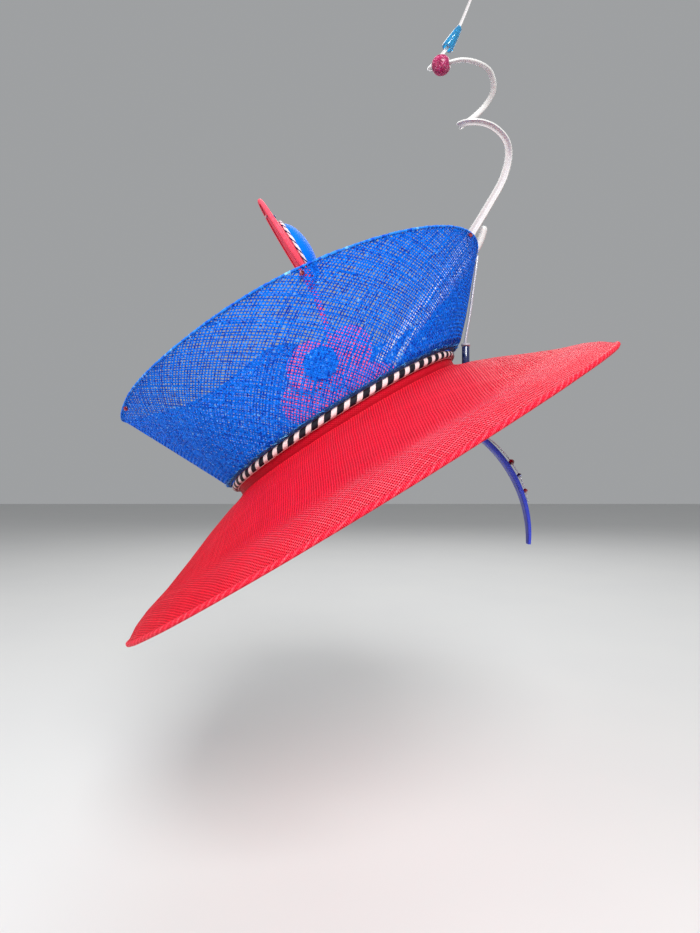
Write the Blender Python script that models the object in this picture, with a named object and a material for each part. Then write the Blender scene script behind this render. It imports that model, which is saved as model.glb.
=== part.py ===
"""A hatinator: a tilted woven straw hat with a see-through flare, carried by a headband.

All lengths are in millimetres until a mesh is made, which is in metres. The origin is the
headband's inner top, where it sits on the head. +Z is up, +Y is the wearer's front and +X is
the wearer's right. The hat is modelled in a frame of its own: its axis is Z, and Z = 0 is a
plane through the collar, a little below the piping's middle.
"""

import math

import bmesh
import bpy
from mathutils import Matrix, Vector

MM = 0.001
GAP = 0.3
SHARP_DEG = 40.0
CURVE_SAMPLES = 12

# The headband, in the upright plane through the ears
BAND_INNER_RADIUS = 88.5
BAND_THICK = 3.5
BAND_END_THICK = 2.1
BAND_WIDTH = 12.0
BAND_END_WIDTH = 7.0
BAND_CORNER = 0.7
BAND_BELOW_DEG = 3.0
BAND_TAPER_DEG = 30.0
BAND_TAPER_POWER = 0.7
BAND_STEPS = 32

# How the hat sits on the headband
HAT_TILT_DEG = 31.5
HAT_LEAN_DEG = 2.1
HAT_SLIDE = 7.7

# Walls of woven straw
BRIM_WALL = 1.2
COLLAR_WALL = 1.2
FLARE_WALL = 1.0
TIP_WALL = 1.2

# The collar and the disc that closes it
COLLAR_RADIUS = 86.7
COLLAR_ABOVE = 6.0
COLLAR_BELOW = 10.5
TIP_EDGE_DROP = 3.0
TIP_DOME = 6.6
TIP_STEPS = 24
TIP_RINGS = 4

# The piping round the collar, and the height of its middle
PIPING_RADIUS = 1.8
PIPING_RISE = 1.2
PIPING_STEPS = 48
PIPING_SIDES = 6

# The brim. Its rim is a circle whose middle lies to the wearer's left of the collar's, and
# which is lifted a little to the front. A round hem is folded round its wire.
BRIM_RADIUS = 186.8
BRIM_SHIFT = 9.0
BRIM_TOP_BELOW = 7.0
BRIM_DROP = 48.7
BRIM_LIFT_DEG = 1.3
BRIM_HEM_RADIUS = 1.2
BRIM_STEPS = 48

# Share of the brim's width and of its drop, from the collar to the rim, with a crease at 0.66
BRIM_ROWS = (
    # width, drop
    (0.000, 0.000),
    (0.012, 0.022),
    (0.074, 0.076),
    (0.121, 0.107),
    (0.284, 0.256),
    (0.475, 0.455),
    (0.670, 0.645),
    (0.699, 0.668),
    (0.828, 0.767),
    (0.924, 0.871),
    (1.000, 1.000),
)

# The flare: length up its slant, measured at the back, the cone that its wall follows, given
# by how far outside the collar's face it meets the plane of height 0, how far past the
# piping's crest its wall stands on it, and the bend at its foot
FLARE_SLANT = 82.0
FLARE_OUTSET = 3.7
FLARE_FOOT_PAST = 0.2
FLARE_FOOT_BEND = 4.0
FLARE_EDGE_RADIUS = 0.9
FLARE_STEPS = 48

# Round the flare from the wearer's right: slant as a share, how far the wall leans out, and
# how far it bellies out over its cone, as a share of the slant
FLARE_ROWS = (
    # azimuth_deg, slant, lean_deg, belly
    (-180.0, 1.075, 23.5, 0.000),
    (-165.0, 1.058, 27.2, 0.000),
    (-150.0, 1.045, 26.2, 0.000),
    (-120.0, 1.023, 29.5, 0.000),
    (-90.0, 1.012, 32.2, 0.000),
    (-60.0, 0.972, 36.0, 0.008),
    (-30.0, 0.938, 41.3, 0.028),
    (0.0, 0.906, 44.6, 0.044),
    (25.0, 0.888, 46.9, 0.044),
    (48.0, 0.879, 46.0, 0.034),
    (65.0, 0.885, 38.2, 0.016),
    (78.0, 0.998, 26.2, 0.000),
    (88.0, 1.202, 16.9, 0.000),
    (98.0, 1.289, 13.8, 0.000),
    (110.0, 1.255, 14.8, 0.000),
    (130.0, 1.161, 17.2, 0.000),
    (150.0, 1.115, 18.8, 0.000),
    (165.0, 1.095, 20.2, 0.000),
)

# Share of the slant at which the flare has a ring of points, foot first
FLARE_LEVELS = (0.0, 0.04, 0.09, 0.18, 0.45, 0.72, 1.0)

# The belly is full between these shares of the slant, and gone at the foot and the rim
BELLY_FROM = 0.06
BELLY_UNTIL = 0.30

# Where the round of a rim has its points, from its own direction
RIM_TURNS_DEG = (45.0, -45.0)

# Crystals at the flare's rim
CRYSTAL_RADIUS = 1.5
CRYSTAL_BELOW_RIM = 2.5
CRYSTAL_SIDES = 8
CRYSTAL_RINGS = 4
# azimuth_deg, side of the wall (1 outside, -1 inside)
CRYSTAL_ROWS = (
    (-151.0, 1),
    (-82.0, 1),
    (-26.0, 1),
    (150.0, -1),
)

# The flower inside the flare: its middle in the hat's frame and its petals' common sizes
FLOWER_ACROSS = 12.0
FLOWER_FORWARD = 23.0
PETAL_LENGTH = 48.0
PETAL_WIDTH = 34.0
PETAL_WALL = 1.2
PETAL_ROOT_WIDTH = 5.0
PETAL_CUP = 3.0
PETAL_CURL = 1.0
PETAL_LAYER = 2.4
PETAL_STEPS = 7
PETAL_SIDES = 4
# A petal's first and last rows stop this share short of its ends, and its outline's power
PETAL_END_SHARE = 0.012
PETAL_POWER = 0.9
KNOT_RADIUS = 5.5
KNOT_THICK = 9.0
KNOT_CHAMFER = 1.2
KNOT_STEPS = 16

# The petals: direction round the flower, shares of length and width, sweep to the front. A
# higher layer lies nearer the wearer's back.
PETAL_ROWS = (
    # name, direction_deg, length, width, sweep_deg, layer
    ("petal_upper_right", 38.0, 1.00, 1.00, 8.0, 0),
    ("petal_left", 178.0, 0.98, 1.00, 8.0, 0),
    ("petal_upper_left", 116.0, 0.84, 1.18, 4.0, 1),
    ("petal_bottom", 270.0, 0.59, 1.05, 4.0, 1),
    ("petal_right", 336.0, 0.98, 0.62, 0.0, 2),
    ("petal_blue", 98.0, 0.62, 0.78, 0.0, 2),
)

# The stem that carries the small hat, with its bends given from the flower's middle
STEM_RADIUS = 1.8
STEM_TOP_RADIUS = 2.4
STEM_TOP_CLEAR = 1.0
STEM_SIDES = 7
STEM_STEPS = 14
STEM_ROWS = (
    # across, forward, rise as shares of the way from the knot to the small brim
    (0.00, 0.00, 0.00),
    (0.10, 0.60, 0.10),
    (0.34, 1.05, 0.26),
    (0.56, 1.15, 0.42),
    (0.80, 1.08, 0.70),
    (1.00, 1.00, 1.00),
)

# The small hat: its middle in the hat's frame, its sizes and its turn from edge-on
MINI_ACROSS = 34.5
MINI_FORWARD = 32.5
MINI_HEIGHT = 143.0
MINI_BRIM_RADIUS = 39.5
MINI_BRIM_SINK = 3.4
MINI_WALL = 1.3
MINI_CROWN_RADIUS = 25.0
MINI_CROWN_SHIFT = 9.5
MINI_CROWN_HEIGHT = 12.0
MINI_CROWN_RINGS = 4
MINI_PIPING_RADIUS = 1.2
MINI_PIPING_SIDES = 6
MINI_TURN_DEG = -2.2
MINI_STEPS = 24
MINI_CRYSTAL_RADIUS = 1.3
# distance above the small hat's middle, side (1 crown side, -1 under side)
MINI_CRYSTALS = (
    (25.0, 1),
    (28.5, -1),
)

# The long curled quill: reach across, reach to the front, rise, and its ribbon
QUILL_REACH = 244.0
QUILL_RISE = 216.0
QUILL_FOOT_WIDTH = 5.0
QUILL_TIP_WIDTH = 1.8
QUILL_STEPS = 72
# The ribbon's section as shares of half its width: its thickness, the groove down its face,
# and how far its back and its two lips reach to the sides
QUILL_THICK_SHARE = 0.5
QUILL_GROOVE_SHARE = 0.2
QUILL_BACK_SHARE = 0.6
QUILL_LIP_SHARE = 0.75
QUILL_FOOT_ACROSS = -14.0
QUILL_FOOT_FORWARD = 38.0
QUILL_ROWS = (
    # across, forward, rise
    (0.040, 0.148, 0.068),
    (0.217, 0.134, 0.154),
    (0.513, 0.106, 0.278),
    (0.644, 0.087, 0.347),
    (0.735, 0.073, 0.399),
    (0.796, 0.059, 0.438),
    (0.837, 0.037, 0.484),
    (0.848, 0.011, 0.528),
    (0.831, -0.011, 0.576),
    (0.800, -0.024, 0.612),
    (0.768, -0.025, 0.635),
    (0.753, -0.005, 0.651),
    (0.761, 0.027, 0.661),
    (0.787, 0.060, 0.674),
    (0.829, 0.080, 0.684),
    (0.884, 0.079, 0.699),
    (0.915, 0.050, 0.716),
    (0.917, 0.012, 0.753),
    (0.888, -0.022, 0.783),
    (0.841, -0.039, 0.816),
    (0.786, -0.036, 0.838),
    (0.767, -0.012, 0.860),
    (0.775, 0.024, 0.881),
    (0.809, 0.052, 0.905),
    (0.866, 0.068, 0.932),
    (0.935, 0.066, 0.973),
    (0.993, 0.040, 1.015),
    (1.026, 0.015, 1.040),
)

# Beads threaded on the curled quill, placed by their share of its length
PAVE_RADIUS = 7.0
PAVE_SHARE = 0.810
PAVE_END_SHARE = 0.88
BELL_LENGTH = 21.0
BELL_RADIUS = 4.8
BELL_NECK_RADIUS = 2.6
BELL_SHARE = 0.922
BELL_POWER = 0.7
BEAD_SIDES = 12
BEAD_STEPS = 8
# What a bead's bore has over the gap, for the straight sides of its outline
BORE_SPARE = 0.15

# The straight quill with a rounded end, which runs beside the curled one, to its front
BLUNT_REACH = 168.0
BLUNT_RISE = 72.5
BLUNT_BESIDE = 5.9
BLUNT_RADIUS = 2.8
BLUNT_FOOT_RADIUS = 1.6
BLUNT_TIP_SHARE = 0.15
BLUNT_STEPS = 24
BLUNT_SIDES = 10
BLUNT_FOOT_ACROSS = 4.0
BLUNT_FOOT_FORWARD = 40.0
BLUNT_ROWS = (
    # across, distance from the curled quill, rise
    (0.150, 0.80, 0.130),
    (0.400, 0.96, 0.389),
    (0.773, 1.00, 0.741),
    (0.930, 1.03, 0.888),
    (1.005, 0.90, 1.034),
)

# The slim rod at the flare's right edge, and the tube on the brim that holds its foot
STALK_FOOT_AZIMUTH_DEG = 0.0
STALK_TOP_AZIMUTH_DEG = 2.0
STALK_RADIUS = 1.0
STALK_TOP_OFF_WALL = 1.5
STALK_FOOT_OFF_WALL = 3.6
STALK_IN_TUBE = 8.0
STALK_KNEE = 2.5
STALK_STEPS = 24
STALK_SIDES = 8
# Where the rod's way is set out, as shares of the flare's slant
STALK_SHARES = (0.12, 0.45, 0.75, 1.06)
TUBE_RADIUS = 2.7
TUBE_LENGTH = 13.5
TUBE_OFF_COLLAR = 7.9
# How far the tube's end stands off the sloping brim beyond the gap, as a share of its radius
TUBE_FOOT_SHARE = 0.3
RING_RADIUS = 3.2
RING_LENGTH = 1.8

# Wire and crystals along the headband's right arm
TRIM_WIRE_RADIUS = 0.45
TRIM_FROM_DEG = 50.0
TRIM_TO_DEG = 15.0
TRIM_STEPS = 24
TRIM_SIDES = 8
TRIM_BEAD_STEPS = 6
# How far a bead's rings reach from its middle to its poles, and how much of the wire is free
# of the beads, as a share of their reach
TRIM_BEAD_TURN_DEG = 76.0
TRIM_CLEAR_SHARE = 1.15
# angle_deg on the band, bead radius
TRIM_BEADS = (
    (34.2, 2.2),
    (27.6, 1.7),
    (20.5, 1.7),
)

# Colours as linear RGB, roughness
FINISHES = {
    "red_straw": ((0.78, 0.015, 0.035), 0.55),
    "dark_red_straw": ((0.45, 0.008, 0.022), 0.6),
    "blue_straw": ((0.01, 0.10, 0.72), 0.5),
    "striped_cloth": ((0.35, 0.33, 0.38), 0.6),
    "quill_white": ((0.85, 0.82, 0.84), 0.35),
    "stalk_grey": ((0.55, 0.50, 0.52), 0.35),
    "navy_tube": ((0.01, 0.015, 0.06), 0.2),
    "crimson_crystal": ((0.45, 0.01, 0.07), 0.15),
    "cyan_lucite": ((0.02, 0.55, 0.75), 0.1),
    "navy_crystal": ((0.02, 0.03, 0.25), 0.15),
    "blue_satin": ((0.02, 0.035, 0.42), 0.35),
}


def finish(name):
    """Return the material of that finish, made once."""
    found = bpy.data.materials.get(name)
    if found:
        return found
    colour, roughness = FINISHES[name]
    material = bpy.data.materials.new(name)
    material.use_nodes = True
    shader = material.node_tree.nodes["Principled BSDF"]
    shader.inputs["Base Color"].default_value = (*colour, 1.0)
    shader.inputs["Roughness"].default_value = roughness
    shader.inputs["Metallic"].default_value = 0.0
    return material


def add_object(name, bm, finish_name, parent):
    """Turn a bmesh in millimetres into a named object under its parent."""
    bmesh.ops.scale(bm, vec=(MM, MM, MM), verts=bm.verts)
    if all(edge.is_manifold for edge in bm.edges) and bm.calc_volume(signed=True) < 0.0:
        bmesh.ops.reverse_faces(bm, faces=bm.faces)
    mesh = bpy.data.meshes.new(name)
    bm.to_mesh(mesh)
    bm.free()
    mesh.shade_smooth()
    mesh.set_sharp_from_angle(angle=math.radians(SHARP_DEG))
    mesh.materials.append(finish(finish_name))
    body = bpy.data.objects.new(name, mesh)
    bpy.context.collection.objects.link(body)
    body.parent = parent
    return body


def add_axis(name, parent, matrix):
    """An empty that carries pieces, placed by a matrix in metres."""
    axis = bpy.data.objects.new(name, None)
    bpy.context.collection.objects.link(axis)
    axis.parent = parent
    axis.matrix_local = matrix
    return axis


def join_rings(bm, rings, closed):
    """Skin between rings of vertices, closed round the last one or capped at both ends."""
    count = len(rings)
    for index in range(count if closed else count - 1):
        lower = rings[index]
        upper = rings[(index + 1) % count]
        size = len(lower)
        for step in range(size):
            after = (step + 1) % size
            bm.faces.new((lower[step], lower[after], upper[after], upper[step]))
    if not closed:
        bm.faces.new(list(reversed(rings[0])))
        bm.faces.new(rings[-1])


def turned(section, steps):
    """A body round the Z axis. section(azimuth) gives its closed outline as (radius, height)."""
    bm = bmesh.new()
    rings = []
    for step in range(steps):
        azimuth = 2.0 * math.pi * step / steps
        ring = []
        for radius, height in section(azimuth):
            place = (radius * math.cos(azimuth), radius * math.sin(azimuth), height)
            ring.append(bm.verts.new(place))
        rings.append(ring)
    join_rings(bm, rings, closed=True)
    return bm


def domed(rows, steps):
    """A body turned from (radius, height) rows whose first and last rows lie on the axis."""
    bm = bmesh.new()
    first = bm.verts.new((0.0, 0.0, rows[0][1]))
    last = bm.verts.new((0.0, 0.0, rows[-1][1]))
    rings = []
    for radius, height in rows[1:-1]:
        ring = []
        for step in range(steps):
            azimuth = 2.0 * math.pi * step / steps
            place = (radius * math.cos(azimuth), radius * math.sin(azimuth), height)
            ring.append(bm.verts.new(place))
        rings.append(ring)
    for lower, upper in zip(rings, rings[1:]):
        for step in range(steps):
            after = (step + 1) % steps
            bm.faces.new((lower[step], lower[after], upper[after], upper[step]))
    for step in range(steps):
        after = (step + 1) % steps
        bm.faces.new((first, rings[0][after], rings[0][step]))
        bm.faces.new((last, rings[-1][step], rings[-1][after]))
    return bm


def smooth_curve(points, steps):
    """Evenly spaced points on a smooth curve through the given ones."""
    dense = []
    last = len(points) - 1
    for index in range(last):
        before = points[max(index - 1, 0)]
        start = points[index]
        end = points[index + 1]
        after = points[min(index + 2, last)]
        for step in range(CURVE_SAMPLES):
            t = step / CURVE_SAMPLES
            bend = (2.0 * before - 5.0 * start + 4.0 * end - after) * t * t
            twist = (3.0 * start - 3.0 * end + after - before) * t * t * t
            dense.append(start + ((end - before) * t + bend + twist) * 0.5)
    dense.append(points[last])
    lengths = [0.0]
    for start, end in zip(dense, dense[1:]):
        lengths.append(lengths[-1] + (end - start).length)
    curve = []
    index = 0
    for step in range(steps + 1):
        goal = lengths[-1] * step / steps
        while index < len(dense) - 2 and lengths[index + 1] < goal:
            index += 1
        span = lengths[index + 1] - lengths[index]
        curve.append(dense[index].lerp(dense[index + 1], (goal - lengths[index]) / span))
    return curve


def carried_frames(curve, side):
    """Side and face directions along a curve, carried without twist from the first side."""
    frames = []
    for index, place in enumerate(curve):
        before = curve[max(index - 1, 0)]
        after = curve[min(index + 1, len(curve) - 1)]
        along = (after - before).normalized()
        side = (side - along * side.dot(along)).normalized()
        frames.append((place, side, along.cross(side)))
    return frames


def swept(frames, outline):
    """A capped body along frames. outline(index) gives its section as (side, face) pairs."""
    bm = bmesh.new()
    rings = []
    for index, (place, side, face) in enumerate(frames):
        ring = []
        for across, up in outline(index):
            ring.append(bm.verts.new(place + side * across + face * up))
        rings.append(ring)
    join_rings(bm, rings, closed=False)
    return bm


def round_outline(radius, sides):
    """Points of a circle, as (side, face) pairs."""
    return [
        (radius * math.cos(2.0 * math.pi * k / sides), radius * math.sin(2.0 * math.pi * k / sides))
        for k in range(sides)
    ]


def cyclic_value(rows, column, azimuth_deg):
    """A value from rows whose first column is an azimuth, smooth all the way round."""
    count = len(rows)
    azimuth = (azimuth_deg - rows[0][0]) % 360.0 + rows[0][0]
    index = max(k for k in range(count) if rows[k][0] <= azimuth)
    span = rows[(index + 1) % count][0] - rows[index][0]
    if index == count - 1:
        span += 360.0
    t = (azimuth - rows[index][0]) / span
    before, start, end, after = (rows[(index + k) % count][column] for k in (-1, 0, 1, 2))
    bend = (2.0 * before - 5.0 * start + 4.0 * end - after) * t * t
    twist = (3.0 * start - 3.0 * end + after - before) * t * t * t
    return start + ((end - before) * t + bend + twist) * 0.5


def wall_outline(line, wall, edge_radius):
    """Close a wall along a line of (radius, height), foot first, with a round rim.

    The wall lies inside the line, or below it where it is negative.
    """
    inner = []
    for index, (radius, height) in enumerate(line):
        before = line[max(index - 1, 0)]
        after = line[min(index + 1, len(line) - 1)]
        run = Vector((after[0] - before[0], after[1] - before[1])).normalized()
        inner.append((radius - run.y * wall, height + run.x * wall))
    run = Vector((line[-1][0] - line[-2][0], line[-1][1] - line[-2][1])).normalized()
    outward = Vector((run.y, -run.x)) * math.copysign(1.0, wall)
    middle = (Vector(line[-1]) + Vector(inner[-1])) * 0.5 + run * edge_radius
    rim = []
    for turn_deg in RIM_TURNS_DEG:
        turn = math.radians(turn_deg)
        spot = middle + outward * edge_radius * math.sin(turn) + run * edge_radius * math.cos(turn)
        rim.append((spot.x, spot.y))
    wide = middle + outward * edge_radius
    narrow = middle - outward * edge_radius
    return [*line, (wide.x, wide.y), *rim, (narrow.x, narrow.y), *reversed(inner)]


def brim_line(azimuth):
    """The brim's upper line at an azimuth, from the collar to the rim, as (radius, height)."""
    inner_radius = COLLAR_RADIUS + GAP + BRIM_WALL
    along = BRIM_SHIFT * math.cos(azimuth)
    aside = BRIM_SHIFT * math.sin(azimuth)
    rim_radius = math.sqrt(BRIM_RADIUS ** 2 - aside ** 2) - along
    lift = rim_radius * math.sin(azimuth) * math.tan(math.radians(BRIM_LIFT_DEG))
    fall = BRIM_DROP - BRIM_TOP_BELOW - lift
    return [
        (inner_radius + width * (rim_radius - inner_radius), -BRIM_TOP_BELOW - drop * fall)
        for width, drop in BRIM_ROWS
    ]


def make_brim(hat):
    """The brim, with its inner edge turned up against the collar and a round hem."""

    def outline(azimuth):
        points = wall_outline(brim_line(azimuth), -BRIM_WALL, BRIM_HEM_RADIUS)
        return [(max(radius, COLLAR_RADIUS + GAP), height) for radius, height in points]

    add_object("brim", turned(outline, BRIM_STEPS), "red_straw", hat)


def make_collar(hat):
    """The upright band between the brim and the flare."""
    inner = COLLAR_RADIUS - COLLAR_WALL
    outline = [
        (inner, -COLLAR_BELOW),
        (COLLAR_RADIUS, -COLLAR_BELOW),
        (COLLAR_RADIUS, COLLAR_ABOVE),
        (inner, COLLAR_ABOVE),
    ]
    add_object("collar", turned(lambda azimuth: outline, BRIM_STEPS), "dark_red_straw", hat)


def tip_height(radius):
    """Height of the underside of the disc that closes the collar."""
    edge = COLLAR_RADIUS - COLLAR_WALL - GAP
    return TIP_DOME - TIP_EDGE_DROP - TIP_DOME * (radius / edge) ** 2


def make_crown_tip(hat):
    """The slightly domed disc inside the collar, which carries the flower and the quills."""
    edge = COLLAR_RADIUS - COLLAR_WALL - GAP
    radii = [edge * k / TIP_RINGS for k in range(TIP_RINGS + 1)]
    under = [(radius, tip_height(radius)) for radius in radii]
    over = [(radius, height + TIP_WALL) for radius, height in reversed(under)]
    add_object("crown_tip", domed([*under, *over], TIP_STEPS), "red_straw", hat)


def make_striped_piping(hat):
    """The round piping that covers the join of flare and collar."""
    middle = COLLAR_RADIUS + GAP + PIPING_RADIUS
    outline = [
        (middle + across, PIPING_RISE + up)
        for across, up in round_outline(PIPING_RADIUS, PIPING_SIDES)
    ]
    add_object("striped_piping", turned(lambda azimuth: outline, PIPING_STEPS), "striped_cloth", hat)


def flare_point(azimuth_deg, share):
    """The flare's outer face at an azimuth and a share of its slant, as (radius, height)."""
    lean = math.radians(cyclic_value(FLARE_ROWS, 2, azimuth_deg))
    slant = FLARE_SLANT * cyclic_value(FLARE_ROWS, 1, azimuth_deg)
    foot_height = PIPING_RISE + PIPING_RADIUS + GAP
    foot_radius = COLLAR_RADIUS + GAP + PIPING_RADIUS + FLARE_FOOT_PAST + FLARE_WALL
    cone_radius = COLLAR_RADIUS + FLARE_OUTSET
    along = foot_height / math.cos(lean)
    along += share * (slant - along)
    radius = cone_radius + along * math.sin(lean)
    height = along * math.cos(lean)
    pull = max(0.0, 1.0 - (height - foot_height) / FLARE_FOOT_BEND) ** 2
    foot_error = foot_radius - cone_radius - foot_height * math.tan(lean)
    rise = min(1.0, share / BELLY_FROM)
    fall = 1.0 - max(0.0, (share - BELLY_UNTIL) / (1.0 - BELLY_UNTIL))
    belly = FLARE_SLANT * cyclic_value(FLARE_ROWS, 3, azimuth_deg) * rise * fall
    return radius + foot_error * pull + belly, height


def make_blue_flare(hat):
    """The see-through flare, a single wall with a rolled and wired rim."""

    def outline(azimuth):
        line = [flare_point(math.degrees(azimuth), share) for share in FLARE_LEVELS]
        return wall_outline(line, FLARE_WALL, FLARE_EDGE_RADIUS)

    add_object("blue_flare", turned(outline, FLARE_STEPS), "blue_straw", hat)


def add_crystal(name, radius, place, finish_name, parent):
    """A small round cut crystal at a place given in millimetres."""
    bm = bmesh.new()
    bmesh.ops.create_uvsphere(
        bm, u_segments=CRYSTAL_SIDES, v_segments=CRYSTAL_RINGS, radius=radius
    )
    add_object(name, bm, finish_name, parent).location = place * MM


def make_rim_crystals(hat):
    """Small round crystals sewn to the flare's wall just below its rim."""
    for number, (azimuth_deg, side) in enumerate(CRYSTAL_ROWS, start=1):
        slant = FLARE_SLANT * cyclic_value(FLARE_ROWS, 1, azimuth_deg)
        share = 1.0 - CRYSTAL_BELOW_RIM / slant
        radius, height = flare_point(azimuth_deg, share)
        lean = math.radians(cyclic_value(FLARE_ROWS, 2, azimuth_deg))
        off = GAP + CRYSTAL_RADIUS if side > 0 else -(GAP + CRYSTAL_RADIUS + FLARE_WALL)
        radius += off * math.cos(lean)
        height -= off * math.sin(lean)
        azimuth = math.radians(azimuth_deg)
        place = Vector((radius * math.cos(azimuth), radius * math.sin(azimuth), height))
        add_crystal(f"rim_crystal_{number}", CRYSTAL_RADIUS, place, "crimson_crystal", hat)


def make_knot(flower):
    """The hidden button on which the petals and the stem are sewn."""
    half = 0.5 * KNOT_THICK
    rows = [
        (0.0, -half),
        (KNOT_RADIUS - KNOT_CHAMFER, -half),
        (KNOT_RADIUS, KNOT_CHAMFER - half),
        (KNOT_RADIUS, half - KNOT_CHAMFER),
        (KNOT_RADIUS - KNOT_CHAMFER, half),
        (0.0, half),
    ]
    knot = add_object("flower_knot", domed(rows, KNOT_STEPS), "red_straw", flower)
    knot.location = Vector((0.0, 0.0, 0.5 * PETAL_LAYER)) * MM


def petal_point(along, across, length, width):
    """A petal's back face: along runs from root to tip, across from -1 to 1 over its width."""
    lobe = math.sqrt(max(0.0, 1.0 - (2.0 * along - 1.0) ** 2))
    root = PETAL_ROOT_WIDTH / width * (1.0 - along)
    half = 0.5 * width * max(lobe ** PETAL_POWER, root)
    reach = KNOT_RADIUS + GAP + along * length
    front = PETAL_CUP * (reach / PETAL_LENGTH) ** 2 + PETAL_CURL * lobe * across ** 2
    return Vector((reach, across * half, -front))


def make_petals(flower):
    """Round petals laid in layers round the knot, cupped to the front."""
    for name, direction_deg, length_share, width_share, sweep_deg, layer in PETAL_ROWS:
        length = PETAL_LENGTH * length_share - KNOT_RADIUS - GAP
        width = PETAL_WIDTH * width_share
        bm = bmesh.new()
        rows = []
        for step in range(PETAL_STEPS + 1):
            along = 0.5 - (0.5 - PETAL_END_SHARE) * math.cos(math.pi * step / PETAL_STEPS)
            rows.append([
                bm.verts.new(petal_point(along, 2.0 * k / PETAL_SIDES - 1.0, length, width))
                for k in range(PETAL_SIDES + 1)
            ])
        for lower, upper in zip(rows, rows[1:]):
            for k in range(PETAL_SIDES):
                bm.faces.new((lower[k], upper[k], upper[k + 1], lower[k + 1]))
        colour = "blue_straw" if name.endswith("blue") else "red_straw"
        petal = add_object(name, bm, colour, flower)
        turn = Matrix.Rotation(math.radians(direction_deg), 4, "Z")
        lift = Matrix.Translation(Vector((0.0, 0.0, layer * PETAL_LAYER)) * MM)
        sweep = Matrix.Rotation(math.radians(sweep_deg), 4, "Y")
        petal.matrix_local = turn @ lift @ sweep
        wall = petal.modifiers.new("wall", "SOLIDIFY")
        wall.thickness = PETAL_WALL * MM
        wall.offset = 0.0


def floor_height(across, forward):
    """Height of the crown tip's upper face in the hat's frame."""
    return tip_height(math.hypot(across, forward)) + TIP_WALL


def flower_height():
    """Height of the flower's middle, with its bottom petal standing on the crown tip."""
    share = next(row[2] for row in PETAL_ROWS if row[0] == "petal_bottom")
    return floor_height(FLOWER_ACROSS, FLOWER_FORWARD) + GAP + PETAL_LENGTH * share


def make_flower(hat):
    """The flower, upright in the flare with its face to the front."""
    place = Vector((FLOWER_ACROSS, FLOWER_FORWARD, flower_height())) * MM
    upright = Matrix.Rotation(math.radians(90.0), 4, "X")
    flower = add_axis("flower_axis", hat, Matrix.Translation(place) @ upright)
    make_knot(flower)
    make_petals(flower)


def make_stem(hat):
    """The stem from the knot's front face up to the lower edge of the small brim."""
    front = 0.5 * KNOT_THICK - 0.5 * PETAL_LAYER + GAP + STEM_RADIUS
    start = Vector((FLOWER_ACROSS, FLOWER_FORWARD + front, flower_height()))
    top_height = MINI_HEIGHT - MINI_BRIM_RADIUS - STEM_TOP_CLEAR
    way = Vector((MINI_ACROSS, MINI_FORWARD, top_height)) - start
    points = [
        start + Vector((way.x * across, way.y * forward, way.z * rise))
        for across, forward, rise in STEM_ROWS
    ]
    curve = smooth_curve(points, STEM_STEPS)

    def outline(index):
        share = index / STEM_STEPS
        return round_outline(STEM_RADIUS + (STEM_TOP_RADIUS - STEM_RADIUS) * share, STEM_SIDES)

    frames = carried_frames(curve, Vector((1.0, 0.0, 0.0)))
    add_object("flower_stem", swept(frames, outline), "red_straw", hat)


def disc_between(rings, steps):
    """A body of stacked rings given as (radius, shift along Y, height), closed on the axis."""
    bm = bmesh.new()
    made = []
    for radius, shift, height in rings:
        ring = []
        for step in range(steps):
            turn = 2.0 * math.pi * step / steps
            place = (radius * math.cos(turn), radius * math.sin(turn) + shift, height)
            ring.append(bm.verts.new(place))
        made.append(ring)
    join_rings(bm, made, closed=False)
    return bm


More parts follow.
